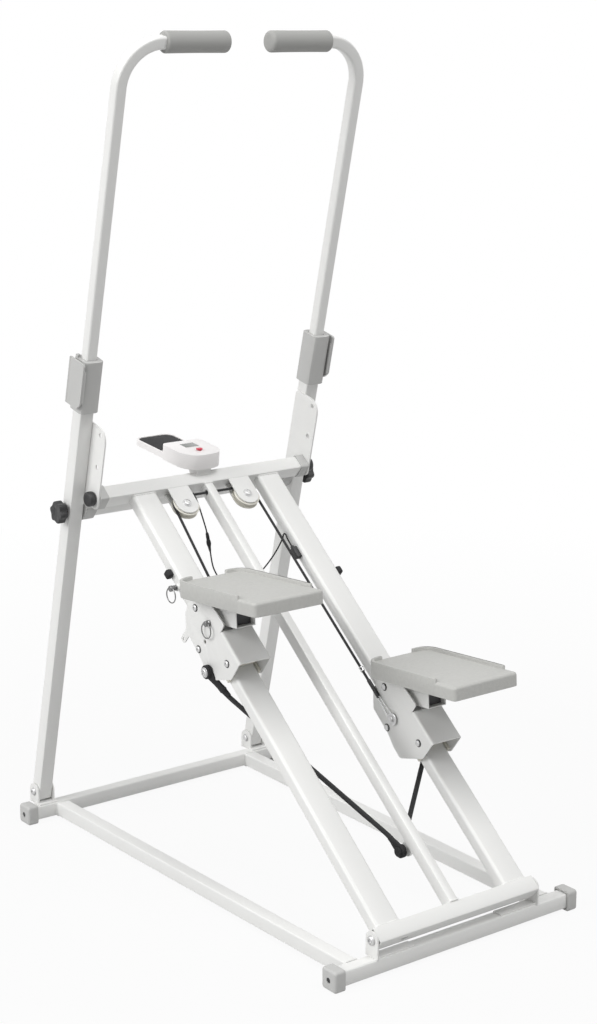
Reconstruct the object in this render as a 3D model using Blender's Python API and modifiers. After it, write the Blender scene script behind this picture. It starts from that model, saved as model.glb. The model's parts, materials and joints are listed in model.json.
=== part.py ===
"""Folding stair climber with two pedal carriages on inclined rails, at its real size.

Metres, +Z up. +Y is the way the user faces, +X is the user's right. The origin is on the floor,
midway between the rearmost and foremost points. Three working frames carry the pieces: the rail
frame turns about the rear pivot (its Y runs up the rails and its Z stands off them), the post frame
turns about the front hinges (its Z runs up the posts), and each pedal has a frame at its arm's pivot.
"""
import math

import bmesh
import bpy
from mathutils import Matrix, Vector

# Fits between pieces
TOUCH_GAP = 0.0003
RUN_GAP = 0.0005
BITE = 0.0010
TUBE_WALL = 0.0015
SHEET = 0.0025
PLATE = 0.0030
CORNER_STEPS = 2
ROUND_SIDES = 20
HOLE_SIDES = 12
HEAD_SIDES = 10

# Base rectangle on the floor
BASE_LENGTH = 0.8869
BASE_TUBE = 0.0256
BASE_TUBE_RADIUS = 0.003
FRONT_WIDTH = 0.594
REAR_WIDTH = 0.525
CAP_SIZE = 0.036
CAP_LENGTH = 0.0212
CAP_FLOOR = 0.004
CAP_ROUNDING = 0.004
CAP_HOLE_RADIUS = 0.003
SIDE_TUBE_FRONT_X = 0.2202
SIDE_TUBE_REAR_X = 0.2072

# Rear pivot of the rails
PIVOT_FORWARD = 0.0013
PIVOT_HEIGHT = 0.0603
PIVOT_TUBE = 0.028
PIVOT_TUBE_HALF = 0.1712
PIVOT_SHAFT_RADIUS = 0.005
PIVOT_HEAD_RADIUS = 0.0085
PIVOT_HEAD_LENGTH = 0.0045
EAR_WIDTH = 0.030
EAR_FOOT_LENGTH = 0.080
PIVOT_SLOT_LENGTH = 0.015
PIVOT_SLOT_WIDTH = 0.0045
PIVOT_SLOT_FROM_END = 0.055

# Front hinges of the posts
HINGE_FORWARD = 0.01535
HINGE_HEIGHT = 0.0524
HINGE_EAR_WIDTH = 0.032
HINGE_BOLT_RADIUS = 0.004
HINGE_HEAD_RADIUS = 0.0075
HINGE_HEAD_LENGTH = 0.004
HINGE_SIDE_GAP = 0.0008

# Posts and what they carry
POST_TUBE = 0.0275
POST_X = 0.2478
POST_TUBE_RADIUS = 0.0025
POST_LENGTH = 0.835
POST_TAIL = 0.0122
SLOPE_PLATE_BOTTOM = 0.611
SLOPE_PLATE_TOP = 0.763
SLOPE_PLATE_BACK = 0.058
SLOPE_PLATE_FRONT = 0.0125
SLOPE_PLATE_ROUNDING = 0.024
SLOPE_HOLE_HEIGHT = 0.629
SLOPE_HOLE_BACK = 0.0412
SLOPE_HOLE_PITCH = 0.0605
SLOPE_HOLES = 3
SLOPE_PIN_RADIUS = 0.004
SLOPE_KNOB_RADIUS = 0.0135
SLOPE_KNOB_LENGTH = 0.0135
CROSSBAR_TUBE = 0.025
CROSSBAR_HOLE_HEIGHT = 0.590
CROSSBAR_SLEEVE = 0.0315
CROSSBAR_SLEEVE_LENGTH = 0.0235
GUSSET_LENGTH = 0.034
STAR_RADIUS = 0.0185
STAR_LOBE = 0.0018
STAR_LOBES = 6
STAR_LENGTH = 0.0145
STAR_NECK_RADIUS = 0.008
STAR_NECK_LENGTH = 0.0065
STAR_SCREW_RADIUS = 0.004

# Telescoping handles
HANDLE_TUBE = 0.0215
HANDLE_TUBE_RADIUS = 0.003
HANDLE_BOTTOM = 0.700
HANDLE_TOP = 1.428
HANDLE_BEND = 0.075
HANDLE_BEND_STEPS = 10
HANDLE_END_X = 0.052
GRIP_INNER_X = 0.043
GRIP_OUTER_X = 0.171
GRIP_RADIUS = 0.0185
GRIP_ROUNDING = 0.006
CLAMP_WIDTH = 0.038
CLAMP_DEPTH = 0.042
CLAMP_BACK_SHIFT = 0.001
CLAMP_BOTTOM = 0.785
CLAMP_TOP = 0.880
CLAMP_ROUNDING = 0.008
CLAMP_LUG = 0.006
LEVER_THICKNESS = 0.004
LEVER_DEPTH = 0.045
LEVER_BOTTOM = 0.794
LEVER_TOP = 0.879
LEVER_ROUNDING = 0.010
LEVER_LIP = 0.0025
LEVER_GAP = 0.0022
LEVER_BARREL_RADIUS = 0.0030

# Rail frame
RAIL_X = 0.137
RAIL_WIDTH = 0.0493
RAIL_DEPTH = 0.025
RAIL_TOP = 0.0108
RAIL_ROUNDING = 0.006
STRUT_WIDTH = 0.0176
STRUT_DEPTH = 0.0236
STRUT_TOP = 0.0143
BEAM_REACH = 0.9265
BEAM_OFFSET = 0.001
BEAM_TUBE = 0.028
BEAM_SLEEVE = 0.032
BEAM_SLEEVE_LENGTH = 0.0175
SLEEVE_FLOOR = 0.0015

# Rope, its pulleys and their brackets
PULLEY_X = 0.067
PULLEY_REACH = 0.875
PULLEY_OFFSET = 0.005
PULLEY_RADIUS = 0.0255
PULLEY_PITCH_RADIUS = 0.022
PULLEY_GROOVE_RADIUS = 0.0193
PULLEY_WIDTH = 0.012
PULLEY_BOLT_RADIUS = 0.004
PULLEY_HEAD_RADIUS = 0.0065
PULLEY_HEAD_LENGTH = 0.0035
PULLEY_BRACKET_WIDTH = 0.044
PULLEY_SIDE_GAP = 0.0008
ROPE_RADIUS = 0.0025
ROPE_ARC_STEPS = 8
ROPE_HOLE_RADIUS = 0.005

# Carriages that ride on the rails
CARRIAGE_REACH = {"left": 0.6000, "right": 0.3656}
CARRIAGE_OUTER_HALF = 0.0335
CARRIAGE_TOP = 0.050
CARRIAGE_BOTTOM = 0.037
CARRIAGE_FRONT = 0.067
CARRIAGE_REAR = 0.093
CARRIAGE_HOOD_FRONT = 0.022
AXLE_RADIUS = 0.004
AXLE_HEAD_RADIUS = 0.0062
AXLE_HEAD_LENGTH = 0.0035
ROLLER_WIDTH = 0.040
UPPER_ROLLER_REACH = -0.068
UPPER_ROLLER_RADIUS = 0.0085
LOWER_ROLLER_REACH = 0.0
LOWER_ROLLER_RADIUS = 0.0155
ANCHOR_OFFSET = -0.003
ANCHOR_X = 0.0375
ANCHOR_BOLT_RADIUS = 0.0035
FITTING_LENGTH = 0.046
FITTING_WIDTH = 0.009
FITTING_THICKNESS = 0.005
BAND_BOLT_REACH = -0.045
BAND_BOLT_OFFSET = -0.034
BAND_BOLT_RADIUS = 0.004
ALTERNATE_HOLE = (-0.003, -0.004)
LOCK_HOLE = (0.010, 0.032)

# Pull pins with rings
PIN_RADIUS = 0.0035
PIN_HEAD_RADIUS = 0.0055
PIN_HEAD_LENGTH = 0.007
RING_RADIUS = 0.0135
RING_WIRE_RADIUS = 0.0012
PLUNGER_SIDE = "left"
PLUNGER_REACH = 0.713
PLUNGER_OFFSET = -0.001
PLUNGER_BOSS_RADIUS = 0.0065
PLUNGER_BOSS_LENGTH = 0.008
PLUNGER_TRAVEL = 0.008

# Pedal arms and pedals, in the pedal frame at the arm's pivot
ARM_PIVOT = (0.053, 0.0195)
ARM_BOLT_RADIUS = 0.003
ARM_WIDTH = 0.040
ARM_WALL = 0.002
ARM_REAR = -0.1015
ARM_BOTTOM = -0.0227
ARM_FRONT = 0.014
ARM_RAIL_GAP = 0.0017
PEDAL_TILT = math.radians(3.9)
PEDAL_WIDTH = 0.1432
PEDAL_REAR = -0.2293
PEDAL_FRONT = 0.006
PEDAL_DECK = 0.0495
PEDAL_HEIGHT = 0.024
PEDAL_WALL = 0.003
PEDAL_DECK_THICKNESS = 0.004
PEDAL_FRONT_ROUNDING = 0.028
PEDAL_REAR_ROUNDING = 0.009
PEDAL_RIB = 0.003
PEDAL_POCKETS_ACROSS = 2
PEDAL_POCKETS_ALONG = 4
LIP_HEIGHT = 0.007
LIP_WIDTH = 0.0055
LIP_REAR = -0.194
LIP_FRONT_OPENING = 0.070

# Resistance bands
BAND_RADIUS = 0.0045
BAND_EYE_RADIUS = 0.0110
BAND_EYE_WIDTH = 0.0095
BAND_SAG = 0.002
BAND_STEPS = 8
BAND_APPROACH = (0.003, 0.016, -0.001)
BAND_PIN_REACH = 0.137
BAND_PIN_OFFSET = -0.024
BAND_PIN_X = 0.0140
BAND_TAB_WIDTH = 0.006
BAND_TAB_HALF = 0.012

# Rubber stops and the counting sensor
BUMPER_REACH = {"left": 0.745, "right": 0.680}
BUMPER_OFFSET = {"left": -0.004, "right": 0.002}
BUMPER_SIZE = (0.011, 0.014, 0.014)
SENSOR_REACH = 0.738
SENSOR_OFFSET = -0.002
SENSOR_SIZE = (0.010, 0.024, 0.010)
CABLE_RADIUS = 0.0014
CABLE_ROUTE = (
    (-0.0200, 0.9150, -0.0155),
    (-0.0190, 0.8960, -0.0190),
    (-0.0122, 0.8646, -0.0406),
    (-0.0079, 0.8490, -0.0547),
    (-0.0036, 0.8261, -0.0776),
    (0.0020, 0.7985, -0.1030),
    (0.0190, 0.7700, -0.1180),
    (0.0420, 0.7570, -0.1100),
    (0.0640, 0.7560, -0.0880),
    (0.0800, 0.7610, -0.0650),
    (0.0947, 0.7695, -0.0397),
    (0.1045, 0.7790, -0.0165),
    (0.1075, 0.7850, -0.0060),
    (0.1070, 0.7800, -0.0010),
    (0.1060, 0.7720, -0.0015),
    (0.1056, 0.7630, -0.0020),
    (0.1056, 0.7520, -0.0020),
)
CABLE_POINTS_PER_SPAN = 2

# Monitor on the top beam
MONITOR_TILT = math.radians(6.3)
MONITOR_LIFT = 0.0272
MONITOR_WIDTH = 0.084
MONITOR_REAR = -0.016
MONITOR_FRONT = 0.076
MONITOR_HEIGHT = 0.028
MONITOR_ROUNDING = 0.020
MONITOR_REAR_ROUNDING = 0.034
MONITOR_BEVEL = 0.006
TRAY_FRONT = 0.171
TRAY_HEIGHT = 0.013
TRAY_BASE = 0.002
TRAY_POCKET = 0.003
TRAY_RIM = 0.004
BUTTON_RADIUS = 0.004
BUTTON_Y = 0.0125
BUTTON_DEPTH = 0.004
BUTTON_PROUD = 0.0012
BRACKET_WIDTH = 0.030
BRACKET_BACK = 0.006
BRACKET_FRONT = 0.026
BRACKET_DEPTH = 0.030

SIDES = {"left": -1.0, "right": 1.0}

# Local Z laid along the named axis of the parent frame
ALONG_Z = Matrix.Identity(3)
ALONG_X = Matrix(((0, 0, 1), (1, 0, 0), (0, 1, 0)))
ALONG_Y = Matrix(((0, 1, 0), (0, 0, 1), (1, 0, 0)))

WHITE = (0.80, 0.80, 0.78)
GREY = (0.42, 0.42, 0.41)
PEDAL_GREY = (0.50, 0.50, 0.48)
FOAM_GREY = (0.38, 0.38, 0.37)
BLACK = (0.02, 0.02, 0.02)
STEEL = (0.60, 0.60, 0.60)
SHELL_WHITE = (0.78, 0.76, 0.75)
RED = (0.65, 0.05, 0.08)
NYLON = (0.70, 0.68, 0.60)

for old_object in list(bpy.data.objects):
    bpy.data.objects.remove(old_object, do_unlink=True)

PARTS = bpy.data.collections.new("stair_climber")
TOOLS = bpy.data.collections.new("stair_climber_cutters")
bpy.context.scene.collection.children.link(PARTS)
bpy.context.scene.collection.children.link(TOOLS)


# Where the two working frames stand

def meeting_point():
    """Return the top beam's centre in the YZ plane, where the rails' reach meets the posts' pin hole."""
    rail_radius = math.hypot(BEAM_REACH, BEAM_OFFSET)
    post_radius = math.hypot(SLOPE_HOLE_HEIGHT, SLOPE_HOLE_BACK)
    between = HINGE - PIVOT
    distance = between.length
    along = (rail_radius ** 2 - post_radius ** 2 + distance ** 2) / (2 * distance)
    above = math.sqrt(rail_radius ** 2 - along ** 2)
    direction = between.normalized()
    upward = Vector((0.0, -direction.z, direction.y))
    return PIVOT + direction * along + upward * above


REAR_Y = -(BASE_LENGTH + HINGE_FORWARD + HINGE_EAR_WIDTH / 2 - CAP_SIZE / 2) / 2
FRONT_Y = REAR_Y + BASE_LENGTH
PIVOT = Vector((0.0, REAR_Y + PIVOT_FORWARD, PIVOT_HEIGHT))
HINGE = Vector((0.0, FRONT_Y + HINGE_FORWARD, HINGE_HEIGHT))
BEAM_CENTRE = meeting_point()
FROM_PIVOT = BEAM_CENTRE - PIVOT
FROM_HINGE = BEAM_CENTRE - HINGE
SLOPE = math.atan2(FROM_PIVOT.z, FROM_PIVOT.y) - math.atan2(BEAM_OFFSET, BEAM_REACH)
LEAN = math.atan2(-FROM_HINGE.y, FROM_HINGE.z) - math.atan2(SLOPE_HOLE_BACK, SLOPE_HOLE_HEIGHT)
CROSSBAR_CENTRE = HINGE + Matrix.Rotation(LEAN, 3, "X") @ Vector((0, 0, CROSSBAR_HOLE_HEIGHT))
CROSSBAR_SPOT = Matrix.Rotation(-SLOPE, 3, "X") @ (CROSSBAR_CENTRE - PIVOT)
BEAM_REACH_X = POST_X - POST_TUBE / 2 - PLATE - RUN_GAP


def empty(name, parent=None, location=(0, 0, 0), turn=0.0):
    """Add an empty on a joint's axis, turned about X."""
    frame = bpy.data.objects.new(name, None)
    frame.empty_display_size = 0.03
    PARTS.objects.link(frame)
    frame.parent = parent
    frame.location = location
    frame.rotation_euler = (turn, 0.0, 0.0)
    return frame


# Shapes

def place(name, mesh, parent, location, basis, tool=False):
    """Make an object of a mesh, with its local axes laid by basis in the parent's frame."""
    piece = bpy.data.objects.new(name, mesh)
    (TOOLS if tool else PARTS).objects.link(piece)
    piece.parent = parent
    piece.matrix_local = Matrix.Translation(location) @ basis.to_4x4()
    if tool:
        piece.hide_render = True
        piece.display_type = "WIRE"
    return piece


def finish(piece, colour, roughness=0.45, metallic=0.0):
    """Give a piece its own material."""
    material = bpy.data.materials.new(piece.name + "_finish")
    material.use_nodes = True
    shader = material.node_tree.nodes["Principled BSDF"]
    shader.inputs["Base Color"].default_value = (*colour, 1.0)
    shader.inputs["Roughness"].default_value = roughness
    shader.inputs["Metallic"].default_value = metallic
    piece.data.materials.clear()
    piece.data.materials.append(material)
    return piece


def closed_mesh(name, builder):
    """Return a mesh filled by builder, with its faces turned outwards."""
    mesh = bpy.data.meshes.new(name)
    shape = bmesh.new()
    builder(shape)
    bmesh.ops.recalc_face_normals(shape, faces=shape.faces)
    shape.to_mesh(mesh)
    shape.free()
    return mesh


def box(name, size, parent=None, centre=(0, 0, 0), basis=ALONG_Z, tool=False):
    """Add a box of the given size about its centre."""
    def build(shape):
        bmesh.ops.create_cube(shape, size=1.0)
        bmesh.ops.scale(shape, vec=size, verts=shape.verts)
    return place(name, closed_mesh(name, build), parent, centre, basis, tool)


def cylinder(name, radius, length, parent=None, centre=(0, 0, 0), basis=ALONG_Z, sides=ROUND_SIDES, tool=False):
    """Add a cylinder about its centre, along its local Z."""
    def build(shape):
        bmesh.ops.create_cone(shape, cap_ends=True, segments=sides, radius1=radius, radius2=radius, depth=length)
    piece = place(name, closed_mesh(name, build), parent, centre, basis, tool)
    shade_round(piece)
    return piece


def shade_round(piece, angle=math.radians(40)):
    """Shade a round piece smooth, with its edges kept sharp."""
    piece.data.shade_smooth()
    piece.data.set_sharp_from_angle(angle=angle)


def bevel(piece, width, segments=2):
    """Round a piece's sharp edges."""
    rounding = piece.modifiers.new("rounding", "BEVEL")
    rounding.width = width
    rounding.segments = segments
    rounding.limit_method = "ANGLE"
    rounding.angle_limit = math.radians(35)
    return piece


def rounded(corners, steps=CORNER_STEPS):
    """Return an outline's points from its corners (x, y, radius), each rounded by an arc."""
    points = []
    count = len(corners)
    for index, (x, y, radius) in enumerate(corners):
        here = Vector((x, y))
        if radius <= 0.0:
            points.append(here)
            continue
        back = (Vector(corners[index - 1][:2]) - here).normalized()
        ahead = (Vector(corners[(index + 1) % count][:2]) - here).normalized()
        half_angle = back.angle(ahead) / 2
        centre = here + (back + ahead).normalized() * (radius / math.sin(half_angle))
        start = here + back * (radius / math.tan(half_angle)) - centre
        end = here + ahead * (radius / math.tan(half_angle)) - centre
        sweep = start.angle_signed(end)
        for step in range(steps + 1):
            turn = Matrix.Rotation(-sweep * step / steps, 2)
            points.append(centre + turn @ start)
    return points


def rectangle(width, height, radius=0.0, steps=CORNER_STEPS):
    """Return a rounded rectangle's points about the origin."""
    x = width / 2
    y = height / 2
    return rounded([(x, y, radius), (-x, y, radius), (-x, -y, radius), (x, -y, radius)], steps)


def welded_mesh(curve_object, name):
    """Return a curve's solid as a mesh with its caps welded on."""
    graph = bpy.context.evaluated_depsgraph_get()
    mesh = bpy.data.meshes.new_from_object(curve_object.evaluated_get(graph))
    mesh.name = name
    shape = bmesh.new()
    shape.from_mesh(mesh)
    bmesh.ops.remove_doubles(shape, verts=shape.verts, dist=0.000001)
    bmesh.ops.recalc_face_normals(shape, faces=shape.faces)
    shape.to_mesh(mesh)
    shape.free()
    bpy.data.objects.remove(curve_object, do_unlink=True)
    mesh.materials.clear()
    return mesh


def flat_mesh(name, loops, thickness):
    """Return the solid of a flat outline, holes included, extruded about its plane."""
    curve = bpy.data.curves.new(name, "CURVE")
    curve.dimensions = "2D"
    curve.fill_mode = "BOTH"
    curve.extrude = thickness / 2
    for points in loops:
        spline = curve.splines.new("POLY")
        spline.points.add(len(points) - 1)
        for spot, point in zip(spline.points, points):
            spot.co = (point[0], point[1], 0.0, 1.0)
        spline.use_cyclic_u = True
    holder = bpy.data.objects.new(name, curve)
    TOOLS.objects.link(holder)
    bpy.context.view_layer.update()
    return welded_mesh(holder, name)


def flat(name, loops, thickness, parent=None, centre=(0, 0, 0), basis=ALONG_Z, tool=False):
    """Add a flat outline of the given thickness, about its centre plane."""
    return place(name, flat_mesh(name, loops, thickness), parent, centre, basis, tool)


def tube(name, width, height, wall, length, parent, centre, basis, radius):
    """Add a straight hollow tube, open at both ends, along its local Z."""
    ribbon = bpy.data.curves.new(name, "CURVE")
    ribbon.dimensions = "2D"
    ribbon.fill_mode = "NONE"
    ribbon.extrude = length / 2
    outline = rectangle(width, height, radius)
    spline = ribbon.splines.new("POLY")
    spline.points.add(len(outline) - 1)
    for spot, point in zip(spline.points, outline):
        spot.co = (point[0], point[1], 0.0, 1.0)
    spline.use_cyclic_u = True
    holder = bpy.data.objects.new(name, ribbon)
    TOOLS.objects.link(holder)
    bpy.context.view_layer.update()
    piece = place(name, welded_mesh(holder, name), parent, centre, basis)
    skin = piece.modifiers.new("wall", "SOLIDIFY")
    skin.thickness = wall
    skin.offset = -1.0
    skin.use_even_offset = True
    return piece


def turned(name, profile, parent=None, centre=(0, 0, 0), basis=ALONG_Z, ring=False, sides=ROUND_SIDES, tool=False):
    """Turn a profile of (radius, height) about its local Z; a ring's profile closes on itself."""
    mesh = bpy.data.meshes.new(name)
    edges = [(index, index + 1) for index in range(len(profile) - 1)]
    if ring:
        edges.append((len(profile) - 1, 0))
    mesh.from_pydata([(radius, 0.0, height) for radius, height in profile], edges, [])
    piece = place(name, mesh, parent, centre, basis, tool)
    screw = piece.modifiers.new("turn", "SCREW")
    screw.steps = sides
    screw.render_steps = sides
    screw.use_merge_vertices = True
    screw.merge_threshold = 0.00001
    screw.use_smooth_shade = False
    return piece


def wire(name, points, radius, parent, tool=False):
    """Add a round wire along points, with closed ends, as a mesh."""
    curve = bpy.data.curves.new(name, "CURVE")
    curve.dimensions = "3D"
    curve.bevel_depth = radius
    curve.bevel_resolution = 2
    curve.use_fill_caps = True
    spline = curve.splines.new("POLY")
    spline.points.add(len(points) - 1)
    for spot, point in zip(spline.points, points):
        spot.co = (*point, 1.0)
    holder = bpy.data.objects.new(name, curve)
    TOOLS.objects.link(holder)
    bpy.context.view_layer.update()
    piece = place(name, welded_mesh(holder, name), parent, (0, 0, 0), ALONG_Z, tool)
    shade_round(piece)
    return piece


def combine(piece, other, operation):
    """Join another shape to a piece, or cut it away."""
    step = piece.modifiers.new(other.name, "BOOLEAN")
    step.operation = operation
    step.solver = "EXACT"
    step.object = other
    return piece


def add(piece, other):
    """Weld a tool shape on."""
    return combine(piece, other, "UNION")


def cut(piece, other):
    """Cut a tool shape away."""
    return combine(piece, other, "DIFFERENCE")


def smooth_route(points, per_span):
    """Return points on a smooth curve through the route's own points."""
    knots = [Vector(point) for point in points]
    knots = [2 * knots[0] - knots[1], *knots, 2 * knots[-1] - knots[-2]]
    route = []
    for index in range(1, len(knots) - 2):
        before, start, end, after = knots[index - 1:index + 3]
        for step in range(per_span):
            t = step / per_span
            route.append(
                0.5 * (2 * start + (end - before) * t
                       + (2 * before - 5 * start + 4 * end - after) * t ** 2
                       + (3 * start - before - 3 * end + after) * t ** 3))
    route.append(knots[-2])
    return route


def ring_pin(name, parent, origin, outward, length_in, length_out, hang):
    """Add a pull pin along X with a head and a ring that hangs from it."""
    reach = length_in + length_out
    middle = origin + Vector((outward * (length_out - length_in) / 2, 0, 0))
    pin = cylinder(name, PIN_RADIUS, reach, parent, middle, ALONG_X, HOLE_SIDES)
    head_centre = origin + Vector((outward * (length_out + PIN_HEAD_LENGTH / 2 - BITE), 0, 0))
    head = cylinder(name + "_head", PIN_HEAD_RADIUS, PIN_HEAD_LENGTH, parent, head_centre, ALONG_X, HOLE_SIDES, tool=True)
    add(pin, head)
    ring_centre = head_centre + hang * (RING_RADIUS - RING_WIRE_RADIUS)
    section = [
        (RING_RADIUS + RING_WIRE_RADIUS * math.sin(math.tau * step / 6),
         RING_WIRE_RADIUS * math.cos(math.tau * step / 6))
        for step in range(6)]
    ring = turned(name + "_ring", section, parent, ring_centre, ALONG_X, ring=True, tool=True)
    add(pin, ring)
    return finish(pin, STEEL, 0.25, 1.0)


# Base

def beam_height():
    """Return the height of the base tubes' centre line."""
    return CAP_SIZE / 2


def base_beam(name, width, y):
    """Add a base beam between its two end caps."""
    length = width - 2 * (CAP_FLOOR + TOUCH_GAP)
    beam = tube(
        name, BASE_TUBE, BASE_TUBE, TUBE_WALL, length, None, (0, y, beam_height()), ALONG_X, BASE_TUBE_RADIUS)
    return finish(beam, WHITE, 0.35)


def end_caps(beam_name, width, y):
    """Add the two caps that close a beam and stand on the floor."""
    for side, sign in SIDES.items():
        name = f"end_cap_{beam_name}_{side}"
        centre = (sign * (width - CAP_LENGTH) / 2, y, beam_height())
        cap = bevel(box(name, (CAP_LENGTH, CAP_SIZE, CAP_SIZE), None, centre), CAP_ROUNDING)
        pocket = BASE_TUBE + 2 * TOUCH_GAP
        pocket_centre = (sign * (width / 2 - CAP_FLOOR - CAP_LENGTH / 2), y, beam_height())
        cut(cap, box(name + "_pocket", (CAP_LENGTH, pocket, pocket), None, pocket_centre, tool=True))
        hole_centre = (sign * width / 2, y, beam_height())
        cut(cap, cylinder(name + "_hole", CAP_HOLE_RADIUS, 4 * CAP_FLOOR, None, hole_centre, ALONG_X, HEAD_SIDES, tool=True))
        finish(cap, GREY, 0.6)


def side_tubes():
    """Add the two long base tubes, which draw together slightly towards the rear."""
    y_rear = REAR_Y + BASE_TUBE / 2
    y_front = FRONT_Y - BASE_TUBE / 2
    splay = math.atan2(SIDE_TUBE_FRONT_X - SIDE_TUBE_REAR_X, BASE_LENGTH)
    end_gap = TOUCH_GAP + math.tan(splay) * BASE_TUBE / 2
    length = (y_front - y_rear - 2 * end_gap) / math.cos(splay)
    for side, sign in SIDES.items():
        centre = (sign * (SIDE_TUBE_FRONT_X + SIDE_TUBE_REAR_X) / 2, (y_rear + y_front) / 2, beam_height())
        basis = Matrix.Rotation(-sign * splay, 3, "Z") @ ALONG_Y
        side_tube = tube(
            f"side_tube_{side}", BASE_TUBE, BASE_TUBE, TUBE_WALL, length, None, centre, basis, BASE_TUBE_RADIUS)
        finish(side_tube, WHITE, 0.35)


def ear_outline(width, low, high):
    """Return an upright ear's outline (y, z) about its hinge, with a round top."""
    half = width / 2
    return rounded([(half, low, 0), (half, high, half * 0.98), (-half, high, half * 0.98), (-half, low, 0)], 6)


def rear_beam():
    """Add the rear beam with the two ears that hold the rails' pivot."""
    beam = base_beam("rear_beam", REAR_WIDTH, REAR_Y)
    beam_top = beam_height() + BASE_TUBE / 2
    for side, sign in SIDES.items():
        ear_x = PIVOT_TUBE_HALF + RUN_GAP + PLATE / 2
        outline = ear_outline(EAR_WIDTH, beam_top - PIVOT_HEIGHT, EAR_WIDTH / 2)
        centre = PIVOT + Vector((sign * ear_x, 0, 0))
        ear = flat(f"pivot_ear_{side}", [outline], PLATE, None, centre, ALONG_X, tool=True)
        add(beam, ear)
        foot_centre = (
            sign * (ear_x - EAR_FOOT_LENGTH / 2), REAR_Y, beam_top + PLATE / 2 - BITE / 2)
        foot_size = (EAR_FOOT_LENGTH, BASE_TUBE - 2 * BASE_TUBE_RADIUS, PLATE)
        add(beam, box(f"pivot_foot_{side}", foot_size, None, foot_centre, tool=True))
        hole = cylinder(
            f"pivot_hole_{side}", PIVOT_SHAFT_RADIUS + TOUCH_GAP, 4 * PLATE, None, centre, ALONG_X, tool=True)
        cut(beam, hole)


def pivot_shaft():
    """Add the shaft that the rail frame turns on, with a round head outside each ear."""
    inner = PIVOT_TUBE_HALF + RUN_GAP + PLATE + TOUCH_GAP
    outer = inner + PIVOT_HEAD_LENGTH
    profile = [
        (0, outer), (PIVOT_HEAD_RADIUS * 0.8, outer), (PIVOT_HEAD_RADIUS, outer - PIVOT_HEAD_LENGTH / 3),
        (PIVOT_HEAD_RADIUS, inner), (PIVOT_SHAFT_RADIUS, inner), (PIVOT_SHAFT_RADIUS, -inner),
        (PIVOT_HEAD_RADIUS, -inner), (PIVOT_HEAD_RADIUS, PIVOT_HEAD_LENGTH / 3 - outer),
        (PIVOT_HEAD_RADIUS * 0.8, -outer), (0, -outer)]
    finish(turned("rear_pivot_shaft", profile, None, PIVOT, ALONG_X), STEEL, 0.25, 1.0)


def front_beam():
    """Add the front beam with a forked bracket for each post."""
    beam = base_beam("front_beam", FRONT_WIDTH, FRONT_Y)
    beam_top = beam_height() + BASE_TUBE / 2
    ear_shift = POST_TUBE / 2 + HINGE_SIDE_GAP + PLATE / 2
    for side, sign in SIDES.items():
        saddle_back = FRONT_Y - BASE_TUBE / 2 + BASE_TUBE_RADIUS
        saddle_front = HINGE.y + HINGE_EAR_WIDTH / 2 - BITE
        saddle_size = (2 * ear_shift + PLATE + 2 * BITE, saddle_front - saddle_back, PLATE)
        saddle_centre = (sign * POST_X, (saddle_back + saddle_front) / 2, beam_top + PLATE / 2 - BITE / 2)
        add(beam, box(f"hinge_saddle_{side}", saddle_size, None, saddle_centre, tool=True))
        for place_name, shift in (("outer", ear_shift), ("inner", -ear_shift)):
            low = beam_top - HINGE_HEIGHT + BITE
            outline = ear_outline(HINGE_EAR_WIDTH, low, HINGE_EAR_WIDTH / 2)
            centre = HINGE + Vector((sign * (POST_X + shift), 0, 0))
            ear = flat(f"hinge_ear_{place_name}_{side}", [outline], PLATE, None, centre, ALONG_X, tool=True)
            add(beam, ear)
        centre = HINGE + Vector((sign * POST_X, 0, 0))
        hole = cylinder(
            f"hinge_hole_{side}", HINGE_BOLT_RADIUS + TOUCH_GAP, 4 * POST_TUBE, None, centre, ALONG_X, tool=True)
        cut(beam, hole)


def hinge_bolts():
    """Add the bolt through each front hinge."""
    inner = POST_TUBE / 2 + HINGE_SIDE_GAP + PLATE + TOUCH_GAP
    outer = inner + HINGE_HEAD_LENGTH
    profile = [
        (0, outer), (HINGE_HEAD_RADIUS * 0.8, outer), (HINGE_HEAD_RADIUS, outer - HINGE_HEAD_LENGTH / 3),
        (HINGE_HEAD_RADIUS, inner), (HINGE_BOLT_RADIUS, inner), (HINGE_BOLT_RADIUS, -inner),
        (HINGE_HEAD_RADIUS, -inner), (HINGE_HEAD_RADIUS, -outer), (0, -outer)]
    for side, sign in SIDES.items():
        basis = ALONG_X if sign > 0 else Matrix.Rotation(math.pi, 3, "Z") @ ALONG_X
        centre = HINGE + Vector((sign * POST_X, 0, 0))
        finish(turned(f"post_hinge_bolt_{side}", profile, None, centre, basis, sides=HOLE_SIDES), STEEL, 0.25, 1.0)


# Posts

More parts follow.
